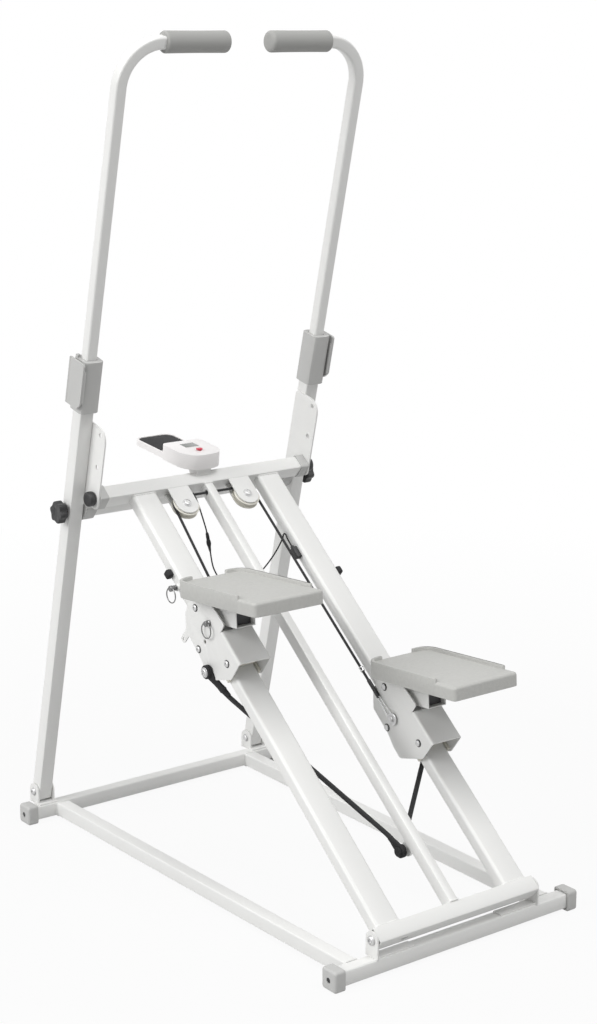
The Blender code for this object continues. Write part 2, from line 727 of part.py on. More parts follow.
def posts(frame):
    """Add each post with the slope plate welded to its inner face."""
    length = POST_LENGTH + POST_TAIL
    inner_face = POST_X - POST_TUBE / 2
    for side, sign in SIDES.items():
        centre = (sign * POST_X, 0, (POST_LENGTH - POST_TAIL) / 2)
        post = tube(
            f"post_{side}", POST_TUBE, POST_TUBE, TUBE_WALL, length, frame, centre, ALONG_Z, POST_TUBE_RADIUS)
        outline = rounded([
            (SLOPE_PLATE_FRONT, SLOPE_PLATE_BOTTOM, 0.008), (SLOPE_PLATE_FRONT, SLOPE_PLATE_TOP, 0.008),
            (-SLOPE_PLATE_BACK, SLOPE_PLATE_TOP, SLOPE_PLATE_ROUNDING),
            (-SLOPE_PLATE_BACK, SLOPE_PLATE_BOTTOM, SLOPE_PLATE_ROUNDING / 2)], 5)
        plate_x = sign * (inner_face - PLATE / 2 + BITE / 10)
        add(post, flat(f"slope_plate_{side}", [outline], PLATE, frame, (plate_x, 0, 0), ALONG_X, tool=True))
        for index in range(SLOPE_HOLES):
            spot = (plate_x, -SLOPE_HOLE_BACK, SLOPE_HOLE_HEIGHT + index * SLOPE_HOLE_PITCH)
            hole = cylinder(
                f"slope_hole_{side}_{index}", SLOPE_PIN_RADIUS + RUN_GAP, 4 * PLATE, frame, spot, ALONG_X, HOLE_SIDES,
                tool=True)
            cut(post, hole)
        hinge_hole = cylinder(
            f"post_hinge_hole_{side}", HINGE_BOLT_RADIUS + RUN_GAP, 2 * POST_TUBE, frame, (sign * POST_X, 0, 0),
            ALONG_X, HOLE_SIDES, tool=True)
        cut(post, hinge_hole)
        star_hole = cylinder(
            f"star_hole_{side}", STAR_SCREW_RADIUS + RUN_GAP, 2 * POST_TUBE, frame,
            (sign * POST_X, 0, CROSSBAR_HOLE_HEIGHT), ALONG_X, HOLE_SIDES, tool=True)
        cut(post, star_hole)
        finish(post, WHITE, 0.35)


def end_sleeves(name, sleeve_size, length, tube_size, frame, centre):
    """Add the cap sleeve on each end of a tube that runs between the posts."""
    hollow = tube_size + 2 * TOUCH_GAP
    for side, sign in SIDES.items():
        shift = Vector((sign * (BEAM_REACH_X - length / 2), 0, 0))
        sleeve = flat(
            f"{name}_{side}", [rectangle(sleeve_size, sleeve_size, 0.004)], length, frame, centre + shift, ALONG_X)
        inward = Vector((sign * SLEEVE_FLOOR, 0, 0))
        pocket_size = (length, hollow, hollow)
        cut(sleeve, box(f"{name}_pocket_{side}", pocket_size, frame, centre + shift - inward, tool=True))
        hole = cylinder(
            f"{name}_hole_{side}", SLOPE_PIN_RADIUS + RUN_GAP, 2 * length, frame, centre + shift, ALONG_X, HOLE_SIDES,
            tool=True)
        cut(sleeve, hole)
        finish(sleeve, GREY, 0.6)


def crossbar(frame):
    """Add the lower tube between the posts, held under the top beam by two gussets."""
    half = BEAM_REACH_X - SLEEVE_FLOOR - TOUCH_GAP
    bar = tube(
        "lower_crossbar", CROSSBAR_TUBE, CROSSBAR_TUBE, TUBE_WALL, 2 * half, frame, CROSSBAR_SPOT, ALONG_X,
        BASE_TUBE_RADIUS)
    low = CROSSBAR_SPOT.z + CROSSBAR_TUBE / 2 - TUBE_WALL / 2
    high = BEAM_OFFSET - BEAM_TUBE / 2 - TOUCH_GAP
    for side, sign in SIDES.items():
        centre = (sign * RAIL_X, (CROSSBAR_SPOT.y + BEAM_REACH) / 2, (low + high) / 2)
        size = (PLATE, GUSSET_LENGTH - (CROSSBAR_SPOT.y - BEAM_REACH), high - low)
        add(bar, box(f"gusset_{side}", size, frame, centre, tool=True))
    finish(bar, WHITE, 0.35)
    end_sleeves(
        "crossbar_sleeve", CROSSBAR_SLEEVE, CROSSBAR_SLEEVE_LENGTH, CROSSBAR_TUBE, frame, CROSSBAR_SPOT)


def star_knobs(frame):
    """Add the lobed knobs that screw into the posts' outer faces."""
    for side, sign in SIDES.items():
        face = POST_X + POST_TUBE / 2 + TOUCH_GAP
        axis = empty(f"star_knob_axis_{side}", frame, (0, 0, CROSSBAR_HOLE_HEIGHT))
        outline = []
        for step in range(STAR_LOBES * 8):
            angle = math.tau * step / (STAR_LOBES * 8)
            radius = STAR_RADIUS + STAR_LOBE * math.cos(STAR_LOBES * angle)
            outline.append((radius * math.cos(angle), radius * math.sin(angle)))
        head_x = sign * (face + STAR_NECK_LENGTH + STAR_LENGTH / 2)
        knob = flat(f"star_knob_{side}", [outline], STAR_LENGTH, axis, (head_x, 0, 0), ALONG_X)
        neck_x = sign * (face + (STAR_NECK_LENGTH + BITE) / 2)
        add(knob, cylinder(
            f"star_neck_{side}", STAR_NECK_RADIUS, STAR_NECK_LENGTH + BITE, axis, (neck_x, 0, 0), ALONG_X, HOLE_SIDES,
            tool=True))
        screw_length = POST_TUBE + STAR_NECK_LENGTH / 2
        screw_x = sign * (face + STAR_NECK_LENGTH / 2 - screw_length / 2)
        add(knob, cylinder(
            f"star_screw_{side}", STAR_SCREW_RADIUS, screw_length, axis, (screw_x, 0, 0), ALONG_X, HOLE_SIDES, tool=True))
        finish(knob, BLACK, 0.5)


def slope_knobs(frame):
    """Add the round pull knobs whose pins stand in the slope plates' lowest holes."""
    for side, sign in SIDES.items():
        plate_outer = POST_X - POST_TUBE / 2
        spot = Vector((0, -SLOPE_HOLE_BACK, SLOPE_HOLE_HEIGHT))
        head_in = plate_outer + RUN_GAP
        profile_length = SLOPE_KNOB_LENGTH
        centre = spot + Vector((sign * (head_in + profile_length / 2), 0, 0))
        knob = cylinder(f"slope_knob_{side}", SLOPE_KNOB_RADIUS, profile_length, frame, centre, ALONG_X)
        bevel(knob, 0.0025)
        pin_length = PLATE + RUN_GAP + BITE
        pin_centre = spot + Vector((sign * (head_in + BITE - pin_length / 2), 0, 0))
        add(knob, cylinder(
            f"slope_pin_{side}", SLOPE_PIN_RADIUS, pin_length, frame, pin_centre, ALONG_X, HOLE_SIDES, tool=True))
        finish(knob, BLACK, 0.5)


# Handles and their clamps

def handles(frame):
    """Add each bent handle tube, hollow, sliding in its post."""
    profile = bpy.data.curves.new("handle_section", "CURVE")
    profile.dimensions = "2D"
    section = rectangle(HANDLE_TUBE, HANDLE_TUBE, HANDLE_TUBE_RADIUS, 2)
    spline = profile.splines.new("POLY")
    spline.points.add(len(section) - 1)
    for spot, point in zip(spline.points, section):
        spot.co = (point[0], point[1], 0.0, 1.0)
    spline.use_cyclic_u = True
    profile_object = bpy.data.objects.new("handle_section", profile)
    TOOLS.objects.link(profile_object)
    for side, sign in SIDES.items():
        corner = Vector((sign * (POST_X - HANDLE_BEND), 0, HANDLE_TOP - HANDLE_BEND))
        points = [Vector((sign * POST_X, 0, HANDLE_BOTTOM))]
        for step in range(HANDLE_BEND_STEPS + 1):
            angle = math.pi / 2 * step / HANDLE_BEND_STEPS
            points.append(corner + Vector((sign * HANDLE_BEND * math.cos(angle), 0, HANDLE_BEND * math.sin(angle))))
        points.append(Vector((sign * HANDLE_END_X, 0, HANDLE_TOP)))
        curve = bpy.data.curves.new(f"handle_{side}", "CURVE")
        curve.dimensions = "3D"
        curve.bevel_mode = "OBJECT"
        curve.bevel_object = profile_object
        curve.use_fill_caps = False
        path = curve.splines.new("POLY")
        path.points.add(len(points) - 1)
        for spot, point in zip(path.points, points):
            spot.co = (*point, 1.0)
        holder = bpy.data.objects.new(f"handle_{side}", curve)
        TOOLS.objects.link(holder)
        bpy.context.view_layer.update()
        mesh = welded_mesh(holder, f"handle_{side}")
        handle = place(f"handle_{side}", mesh, frame, (0, 0, 0), ALONG_Z)
        wall = handle.modifiers.new("wall", "SOLIDIFY")
        wall.thickness = TUBE_WALL
        wall.offset = -1.0
        shade_round(handle)
        finish(handle, WHITE, 0.35)
    bpy.data.objects.remove(profile_object, do_unlink=True)


def grips(frame):
    """Add the foam grips, each a round sleeve closed at its inner end."""
    hollow = HANDLE_TUBE + 2 * TOUCH_GAP
    for side, sign in SIDES.items():
        length = GRIP_OUTER_X - GRIP_INNER_X
        centre = (sign * (GRIP_INNER_X + GRIP_OUTER_X) / 2, 0, HANDLE_TOP)
        grip = cylinder(f"grip_{side}", GRIP_RADIUS, length, frame, centre, ALONG_X)
        bevel(grip, GRIP_ROUNDING, 2)
        pocket_inner = HANDLE_END_X - TOUCH_GAP
        pocket_outer = GRIP_OUTER_X + GRIP_ROUNDING
        pocket_centre = (sign * (pocket_inner + pocket_outer) / 2, 0, HANDLE_TOP)
        pocket_size = (pocket_outer - pocket_inner, hollow, hollow)
        cut(grip, box(f"grip_pocket_{side}", pocket_size, frame, pocket_centre, tool=True))
        finish(grip, FOAM_GREY, 0.9)


def clamps(frame):
    """Add the clamp body on each post's top and the lever that swings on its front edge."""
    for side, sign in SIDES.items():
        middle = (CLAMP_TOP + CLAMP_BOTTOM) / 2
        centre = (sign * POST_X, -CLAMP_BACK_SHIFT, middle)
        body = flat(
            f"clamp_body_{side}", [rectangle(CLAMP_WIDTH, CLAMP_DEPTH, CLAMP_ROUNDING)],
            CLAMP_TOP - CLAMP_BOTTOM, frame, centre)
        post_hollow = POST_TUBE + 2 * TOUCH_GAP
        socket_top = POST_LENGTH + TOUCH_GAP
        socket_centre = (sign * POST_X, 0, (socket_top + CLAMP_BOTTOM - BITE) / 2)
        socket_size = (post_hollow, post_hollow, socket_top - CLAMP_BOTTOM + BITE)
        cut(body, box(f"clamp_socket_{side}", socket_size, frame, socket_centre, tool=True))
        bore = HANDLE_TUBE + 2 * RUN_GAP
        cut(body, box(f"clamp_bore_{side}", (bore, bore, POST_LENGTH), frame, (sign * POST_X, 0, CLAMP_TOP), tool=True))
        hinge_y = CLAMP_DEPTH / 2 - CLAMP_BACK_SHIFT
        lug_x = sign * (POST_X + CLAMP_WIDTH / 2 - CLAMP_LUG / 2 - BITE)
        lug_centre = (lug_x, hinge_y - CLAMP_ROUNDING, CLAMP_TOP + CLAMP_LUG / 2 - BITE)
        lug_size = (CLAMP_LUG, CLAMP_LUG, CLAMP_LUG)
        add(body, box(f"clamp_lug_{side}", lug_size, frame, lug_centre, tool=True))
        finish(body, GREY, 0.5)

        face = POST_X + CLAMP_WIDTH / 2 + LEVER_GAP
        axis_x = sign * (face + LEVER_THICKNESS / 2)
        axis = empty(f"clamp_lever_axis_{side}", frame, (axis_x, hinge_y, 0))
        outline = rounded([
            (0, LEVER_BOTTOM, 0), (0, LEVER_TOP, 0), (-LEVER_DEPTH, LEVER_TOP, 0.004),
            (-LEVER_DEPTH, LEVER_BOTTOM + 0.012, 0.006), (-LEVER_DEPTH + 0.010, LEVER_BOTTOM, LEVER_ROUNDING)], 3)
        lever = flat(f"clamp_lever_{side}", [outline], LEVER_THICKNESS, axis, (0, 0, 0), ALONG_X)
        barrel_centre = (0, 0, (LEVER_TOP + LEVER_BOTTOM) / 2)
        add(lever, cylinder(
            f"lever_barrel_{side}", LEVER_BARREL_RADIUS, LEVER_TOP - LEVER_BOTTOM - BITE, axis, barrel_centre,
            ALONG_Z, HOLE_SIDES, tool=True))
        lip_size = (LEVER_LIP + BITE, PLATE, (LEVER_TOP - LEVER_BOTTOM) * 0.7)
        lip_x = -sign * ((LEVER_THICKNESS + LEVER_LIP) / 2 - BITE / 2)
        lip_y = -(CLAMP_DEPTH + PLATE) / 2 - hinge_y - CLAMP_BACK_SHIFT - RUN_GAP
        lip_centre = (lip_x, lip_y, (LEVER_TOP + LEVER_BOTTOM) / 2)
        add(lever, box(f"lever_lip_{side}", lip_size, axis, lip_centre, tool=True))
        finish(lever, GREY, 0.45)


# Rail frame

def rail_span():
    """Return the rails' start and end along the rail frame, clear of the pivot tube and the top beam."""
    return PIVOT_TUBE / 2 + TOUCH_GAP, BEAM_REACH - BEAM_TUBE / 2 - TOUCH_GAP


def rails(frame):
    """Add the two rails, the left one with the boss of the spring plunger."""
    start, end = rail_span()
    centre_offset = RAIL_TOP - RAIL_DEPTH / 2
    made = {}
    for side, sign in SIDES.items():
        centre = (sign * RAIL_X, (start + end) / 2, centre_offset)
        made[side] = tube(
            f"rail_{side}", RAIL_DEPTH, RAIL_WIDTH, TUBE_WALL, end - start, frame, centre, ALONG_Y, RAIL_ROUNDING)
    sign = SIDES[PLUNGER_SIDE]
    outer_face = RAIL_X + RAIL_WIDTH / 2
    boss_x = sign * (outer_face + PLUNGER_BOSS_LENGTH / 2 - BITE / 4)
    boss = cylinder(
        "plunger_boss", PLUNGER_BOSS_RADIUS, PLUNGER_BOSS_LENGTH + BITE / 2, frame,
        (boss_x, PLUNGER_REACH, PLUNGER_OFFSET), ALONG_X, HOLE_SIDES, tool=True)
    add(made[PLUNGER_SIDE], boss)
    bore = cylinder(
        "plunger_bore", PIN_RADIUS + RUN_GAP, 6 * PLUNGER_BOSS_LENGTH, frame,
        (sign * (outer_face + PLUNGER_BOSS_LENGTH), PLUNGER_REACH, PLUNGER_OFFSET), ALONG_X, HOLE_SIDES, tool=True)
    cut(made[PLUNGER_SIDE], bore)
    for rail in made.values():
        finish(rail, WHITE, 0.3)


def centre_strut(frame):
    """Add the slim middle strut, with the hole that the rope crosses and the tab that holds the bands."""
    start, end = rail_span()
    centre_offset = STRUT_TOP - STRUT_DEPTH / 2
    strut = tube(
        "centre_strut", STRUT_DEPTH, STRUT_WIDTH, TUBE_WALL, end - start, frame,
        (0, (start + end) / 2, centre_offset), ALONG_Y, 0.0025)
    spot = (0, PULLEY_REACH + PULLEY_PITCH_RADIUS, PULLEY_OFFSET)
    cut(strut, cylinder("rope_hole", ROPE_HOLE_RADIUS, 2 * STRUT_WIDTH, frame, spot, ALONG_X, HOLE_SIDES, tool=True))
    low = STRUT_TOP - STRUT_DEPTH
    tab_outline = rounded([
        (BAND_PIN_REACH + BAND_TAB_HALF, low + BITE, 0), (BAND_PIN_REACH - BAND_TAB_HALF, low + BITE, 0),
        (BAND_PIN_REACH - BAND_TAB_HALF, BAND_PIN_OFFSET - 0.009, 0.008),
        (BAND_PIN_REACH + BAND_TAB_HALF, BAND_PIN_OFFSET - 0.009, 0.008)], 4)
    add(strut, flat("band_tab", [tab_outline], BAND_TAB_WIDTH, frame, (0, 0, 0), ALONG_X, tool=True))
    pin_half = BAND_PIN_X + BAND_EYE_WIDTH / 2 + TOUCH_GAP
    pin_spot = (0, BAND_PIN_REACH, BAND_PIN_OFFSET)
    pin_length = 2 * (pin_half + BITE)
    add(strut, cylinder("band_pin", BAND_BOLT_RADIUS, pin_length, frame, pin_spot, ALONG_X, HOLE_SIDES, tool=True))
    for side, sign in SIDES.items():
        head_spot = (sign * (pin_half + AXLE_HEAD_LENGTH / 2), BAND_PIN_REACH, BAND_PIN_OFFSET)
        head = cylinder(
            f"band_pin_head_{side}", AXLE_HEAD_RADIUS, AXLE_HEAD_LENGTH, frame, head_spot, ALONG_X, HOLE_SIDES, tool=True)
        add(strut, head)
    finish(strut, WHITE, 0.3)


def pivot_tube(frame):
    """Add the square tube that turns between the rear ears, with a bushed plate in each end and a drain slot."""
    pivot = tube(
        "pivot_tube", PIVOT_TUBE, PIVOT_TUBE, TUBE_WALL, 2 * PIVOT_TUBE_HALF, frame, (0, 0, 0), ALONG_X, 0.0025)
    inner = PIVOT_TUBE - 2 * TUBE_WALL + BITE / 2
    for side, sign in SIDES.items():
        centre = (sign * (PIVOT_TUBE_HALF - 1.5 * PLATE), 0, 0)
        add(pivot, box(f"pivot_plug_{side}", (PLATE, inner, inner), frame, centre, tool=True))
        hole = cylinder(
            f"pivot_plug_hole_{side}", PIVOT_SHAFT_RADIUS + RUN_GAP / 2, 2 * PLATE, frame, centre, ALONG_X, tool=True)
        cut(pivot, hole)
    slot = rectangle(PIVOT_SLOT_WIDTH, PIVOT_SLOT_LENGTH, PIVOT_SLOT_WIDTH * 0.48)
    slot_centre = (PIVOT_SLOT_FROM_END - PIVOT_TUBE_HALF, -PIVOT_TUBE / 2, 0)
    cut(pivot, flat("pivot_slot", [slot], 4 * TUBE_WALL, frame, slot_centre, ALONG_Y, tool=True))
    finish(pivot, WHITE, 0.35)


def top_beam(frame):
    """Add the top beam with the two pulley forks and the monitor's bracket welded on."""
    centre = Vector((0, BEAM_REACH, BEAM_OFFSET))
    beam_half = BEAM_REACH_X - SLEEVE_FLOOR - TOUCH_GAP
    beam = tube(
        "top_beam", BEAM_TUBE, BEAM_TUBE, TUBE_WALL, 2 * beam_half, frame, centre, ALONG_X, BASE_TUBE_RADIUS)
    beam_face = BEAM_REACH - BEAM_TUBE / 2
    plate_shift = PULLEY_WIDTH / 2 + PULLEY_SIDE_GAP + SHEET / 2
    half = PULLEY_BRACKET_WIDTH / 2
    for side, sign in SIDES.items():
        outline = rounded([
            (half, beam_face + BITE / 2, 0), (-half, beam_face + BITE / 2, 0),
            (-half, PULLEY_REACH - half, half * 0.98), (half, PULLEY_REACH - half, half * 0.98)], 6)
        for label, shift in (("upper", plate_shift), ("lower", -plate_shift)):
            spot = (sign * PULLEY_X, 0, PULLEY_OFFSET + shift)
            plate = flat(f"pulley_plate_{label}_{side}", [outline], SHEET, frame, spot, ALONG_Z, tool=True)
            add(beam, plate)
        axle = Vector((sign * PULLEY_X, PULLEY_REACH, PULLEY_OFFSET))
        axle_length = 2 * (plate_shift + SHEET / 2 + PULLEY_HEAD_LENGTH)
        add(beam, cylinder(
            f"pulley_axle_{side}", PULLEY_BOLT_RADIUS, axle_length, frame, axle, ALONG_Z, HOLE_SIDES, tool=True))
        for label, way in (("upper", 1), ("lower", -1)):
            head_spot = axle + Vector((0, 0, way * (plate_shift + SHEET / 2 + PULLEY_HEAD_LENGTH / 2 - BITE / 2)))
            head = cylinder(
                f"pulley_head_{label}_{side}", PULLEY_HEAD_RADIUS, PULLEY_HEAD_LENGTH, frame, head_spot, ALONG_Z, 6,
                tool=True)
            add(beam, head)
    bracket_top = BEAM_CENTRE.z + MONITOR_LIFT - TOUCH_GAP
    slant = math.tan(MONITOR_TILT)
    bracket_profile = [
        (-BRACKET_BACK, bracket_top - BEAM_CENTRE.z - BRACKET_BACK * slant),
        (-BRACKET_BACK, bracket_top - BEAM_CENTRE.z - BRACKET_DEPTH),
        (BRACKET_FRONT - 0.014, bracket_top - BEAM_CENTRE.z - BRACKET_DEPTH),
        (BRACKET_FRONT, bracket_top - BEAM_CENTRE.z + BRACKET_FRONT * slant)]
    bracket = flat(
        "monitor_bracket", [bracket_profile], BRACKET_WIDTH, frame, centre,
        Matrix.Rotation(-SLOPE, 3, "X") @ ALONG_X, tool=True)
    add(beam, bracket)
    finish(beam, WHITE, 0.35)


def pulleys(frame):
    """Add the two grooved pulleys that turn flat in their forks."""
    top = PULLEY_WIDTH / 2
    bore = PULLEY_BOLT_RADIUS + RUN_GAP
    rim = PULLEY_RADIUS
    seat = PULLEY_GROOVE_RADIUS
    profile = [
        (bore, top), (rim, top), (rim, top * 0.8), (seat + 0.0007, top * 0.35), (seat, 0),
        (seat + 0.0007, -top * 0.35), (rim, -top * 0.8), (rim, -top), (bore, -top)]
    for side, sign in SIDES.items():
        spot = (sign * PULLEY_X, PULLEY_REACH, PULLEY_OFFSET)
        finish(turned(f"pulley_{side}", profile, frame, spot, ALONG_Z, ring=True), GREY, 0.4)


def anchor_point(side):
    """Return the place in the rail frame where a carriage holds the rope."""
    sign = SIDES[side]
    x = sign * (RAIL_X - ANCHOR_X)
    return Vector((x, CARRIAGE_REACH[side], ANCHOR_OFFSET))


def drive_rope(frame):
    """Add the one taut rope from the left carriage, round both pulleys, to the right carriage."""
    points = []
    for side in ("left", "right"):
        sign = SIDES[side]
        lower_end = anchor_point(side) + Vector((0, FITTING_LENGTH + TOUCH_GAP, 0))
        centre = Vector((sign * PULLEY_X, PULLEY_REACH, PULLEY_OFFSET))
        run = [lower_end]
        for step in range(ROPE_ARC_STEPS + 1):
            angle = math.pi / 2 * step / ROPE_ARC_STEPS
            run.append(centre + PULLEY_PITCH_RADIUS * Vector((sign * math.cos(angle), math.sin(angle), 0)))
        points += run if side == "left" else reversed(run)
    finish(wire("drive_rope", points, ROPE_RADIUS, frame), BLACK, 0.8)


def bumpers(frame):
    """Add the rubber stop on each rail's outer side."""
    for side, sign in SIDES.items():
        x = sign * (RAIL_X + (RAIL_WIDTH + BUMPER_SIZE[0]) / 2 + TOUCH_GAP)
        stop = box(f"bumper_{side}", BUMPER_SIZE, frame, (x, BUMPER_REACH[side], BUMPER_OFFSET[side]))
        finish(bevel(stop, 0.002), BLACK, 0.8)


def rail_plunger(frame, down):
    """Add the spring plunger with a ring in one rail's outer side."""
    sign = SIDES[PLUNGER_SIDE]
    boss_end = RAIL_X + RAIL_WIDTH / 2 + PLUNGER_BOSS_LENGTH
    origin = Vector((sign * boss_end, PLUNGER_REACH, PLUNGER_OFFSET))
    ring_pin(f"rail_plunger_{PLUNGER_SIDE}", frame, origin, sign, PLUNGER_BOSS_LENGTH + PLATE, PLUNGER_TRAVEL, down)


def sensor(frame):
    """Add the counting sensor on the right rail's inner side."""
    x = RAIL_X - (RAIL_WIDTH + SENSOR_SIZE[0]) / 2 - TOUCH_GAP
    block = box("count_sensor", SENSOR_SIZE, frame, (x, SENSOR_REACH, SENSOR_OFFSET))
    finish(bevel(block, 0.0015), BLACK, 0.6)


def sensor_cable(frame):
    """Add the thin cable that hangs in a loop from the top beam to the sensor."""
    route = smooth_route(CABLE_ROUTE, CABLE_POINTS_PER_SPAN)
    finish(wire("sensor_cable", route, CABLE_RADIUS, frame), BLACK, 0.6)


def monitor(frame):
    """Add the monitor's housing with its tray, and the button in its top."""
    half = MONITOR_WIDTH / 2
    housing_outline = rounded([
        (half, MONITOR_FRONT, 0.010), (-half, MONITOR_FRONT, 0.010),
        (-half, MONITOR_REAR, MONITOR_REAR_ROUNDING), (half, MONITOR_REAR, MONITOR_REAR_ROUNDING)], 7)
    housing = flat(
        "monitor_housing", [housing_outline], MONITOR_HEIGHT, frame, (0, 0, MONITOR_HEIGHT / 2))
    bevel(housing, MONITOR_BEVEL, 3)
    tray_back = MONITOR_FRONT - 2 * MONITOR_BEVEL
    tray_outline = rounded([
        (half, TRAY_FRONT, MONITOR_ROUNDING), (-half, TRAY_FRONT, MONITOR_ROUNDING), (-half, tray_back, 0),
        (half, tray_back, 0)], 5)
    tray_middle = (TRAY_HEIGHT + TRAY_BASE) / 2
    add(housing, flat(
        "tray", [tray_outline], TRAY_HEIGHT - TRAY_BASE, frame, (0, 0, tray_middle), tool=True))
    rim = half - TRAY_RIM
    pocket_outline = rounded([
        (rim, TRAY_FRONT - TRAY_RIM, MONITOR_ROUNDING - TRAY_RIM),
        (-rim, TRAY_FRONT - TRAY_RIM, MONITOR_ROUNDING - TRAY_RIM),
        (-rim, MONITOR_FRONT + TRAY_RIM, 0.002), (rim, MONITOR_FRONT + TRAY_RIM, 0.002)], 5)
    cut(housing, flat(
        "tray_pocket", [pocket_outline], 2 * TRAY_POCKET, frame, (0, 0, TRAY_HEIGHT), tool=True))
    button_spot = Vector((0, BUTTON_Y, MONITOR_HEIGHT))
    well_depth = BUTTON_DEPTH + BUTTON_PROUD
    well = cylinder(
        "button_well", BUTTON_RADIUS + RUN_GAP, 2 * well_depth, frame, button_spot, ALONG_Z, tool=True)
    cut(housing, well)
    finish(housing, SHELL_WHITE, 0.4)
    button_centre = button_spot + Vector((0, 0, BUTTON_PROUD - BUTTON_DEPTH / 2))
    button = cylinder("monitor_button", BUTTON_RADIUS, BUTTON_DEPTH, frame, button_centre)
    finish(bevel(button, 0.0008), RED, 0.4)


# Carriages

def carriage_outline():
    """Return the side plate's outline (along the rail, off the rail)."""
    return rounded([
        (-CARRIAGE_REAR + 0.002, CARRIAGE_TOP, 0.003), (-CARRIAGE_REAR, 0.007, 0.004),
        (BAND_BOLT_REACH - 0.012, BAND_BOLT_OFFSET - 0.010, 0.010),
        (BAND_BOLT_REACH + 0.012, BAND_BOLT_OFFSET - 0.009, 0.006), (-0.008, -CARRIAGE_BOTTOM, 0.006),
        (0.045, -CARRIAGE_BOTTOM + 0.001, 0.006), (CARRIAGE_FRONT, -0.012, 0.006),
        (CARRIAGE_FRONT + 0.010, 0.0285, 0.008), (0.045, 0.058, 0.010), (0.012, 0.064, 0.004),
        (-CARRIAGE_HOOD_FRONT + 0.003, 0.0655, 0.003), (-CARRIAGE_HOOD_FRONT + RUN_GAP, CARRIAGE_TOP, 0)], 3)


def carriage(side, frame):
    """Add the folded sheet channel that straddles a rail, with its axles and the rope's fitting."""
    sign = SIDES[side]
    width = 2 * CARRIAGE_OUTER_HALF
    inner = width - 2 * SHEET
    body = flat(f"carriage_{side}", [carriage_outline()], width, frame, (0, 0, 0), ALONG_X)
    long_way = 4 * CARRIAGE_REAR
    channel_centre = (0, 0, CARRIAGE_TOP - SHEET - CARRIAGE_REAR)
    cut(body, box(f"carriage_channel_{side}", (inner, long_way, 2 * CARRIAGE_REAR), frame, channel_centre, tool=True))
    mouth_centre = (0, CARRIAGE_REAR - CARRIAGE_HOOD_FRONT, CARRIAGE_TOP)
    cut(body, box(
        f"carriage_mouth_{side}", (inner, 2 * CARRIAGE_REAR, CARRIAGE_TOP), frame, mouth_centre, tool=True))
    lock_spot = Vector((sign * CARRIAGE_OUTER_HALF, LOCK_HOLE[0], LOCK_HOLE[1]))
    cut(body, cylinder(
        f"lock_hole_{side}", PIN_RADIUS + RUN_GAP, 4 * SHEET, frame, lock_spot, ALONG_X, HOLE_SIDES, tool=True))
    spare_spot = Vector((sign * CARRIAGE_OUTER_HALF, ALTERNATE_HOLE[0], ALTERNATE_HOLE[1]))
    cut(body, cylinder(f"spare_hole_{side}", PIN_RADIUS, 4 * SHEET, frame, spare_spot, ALONG_X, HOLE_SIDES, tool=True))

    axles = (
        ("pivot", ARM_PIVOT, ARM_BOLT_RADIUS),
        ("upper", (UPPER_ROLLER_REACH, upper_roller_offset()), AXLE_RADIUS),
        ("lower", (LOWER_ROLLER_REACH, lower_roller_offset()), AXLE_RADIUS))
    for label, spot, radius in axles:
        centre = Vector((0, spot[0], spot[1]))
        add(body, cylinder(f"{label}_axle_{side}", radius, width, frame, centre, ALONG_X, HOLE_SIDES, tool=True))
        for way in (-1, 1):
            head_spot = centre + Vector((way * (CARRIAGE_OUTER_HALF + AXLE_HEAD_LENGTH / 2 - BITE / 2), 0, 0))
            add(body, cylinder(
                f"{label}_head_{side}_{way}", AXLE_HEAD_RADIUS, AXLE_HEAD_LENGTH, frame, head_spot, ALONG_X, HEAD_SIDES,
                tool=True))

    anchor = Vector((-sign * ANCHOR_X, 0, ANCHOR_OFFSET))
    bolt_length = ANCHOR_X + FITTING_THICKNESS / 2 - CARRIAGE_OUTER_HALF + SHEET / 2
    bolt_centre = anchor + Vector((sign * (bolt_length - FITTING_THICKNESS) / 2, 0, 0))
    add(body, cylinder(
        f"anchor_bolt_{side}", ANCHOR_BOLT_RADIUS, bolt_length, frame, bolt_centre, ALONG_X, HEAD_SIDES, tool=True))
    half = FITTING_WIDTH / 2
    fitting_outline = rounded([
        (FITTING_LENGTH, half, 0.002), (-half, half, half * 0.95), (-half, -half, half * 0.95),
        (FITTING_LENGTH, -half, 0.002)], 4)
    add(body, flat(f"rope_fitting_{side}", [fitting_outline], FITTING_THICKNESS, frame, anchor, ALONG_X, tool=True))

    band_spot = Vector((sign * CARRIAGE_OUTER_HALF, BAND_BOLT_REACH, BAND_BOLT_OFFSET))
    band_bolt = BAND_EYE_WIDTH + 2 * TOUCH_GAP + SHEET
    band_centre = band_spot + Vector((sign * (band_bolt / 2 - SHEET / 2), 0, 0))
    add(body, cylinder(
        f"band_bolt_{side}", BAND_BOLT_RADIUS, band_bolt, frame, band_centre, ALONG_X, HOLE_SIDES, tool=True))
    head_spot = band_spot + Vector((sign * (band_bolt - SHEET / 2 + AXLE_HEAD_LENGTH / 2 - BITE / 2), 0, 0))
    add(body, cylinder(
        f"band_head_{side}", AXLE_HEAD_RADIUS, AXLE_HEAD_LENGTH, frame, head_spot, ALONG_X, HEAD_SIDES, tool=True))
    return finish(body, WHITE, 0.35)


def upper_roller_offset():
    """Return how far the upper roller's axle stands off the rail frame's plane."""
    return RAIL_TOP + RUN_GAP + UPPER_ROLLER_RADIUS


def lower_roller_offset():
    """Return the lower roller's axle offset, below the rail."""
    return RAIL_TOP - RAIL_DEPTH - RUN_GAP - LOWER_ROLLER_RADIUS


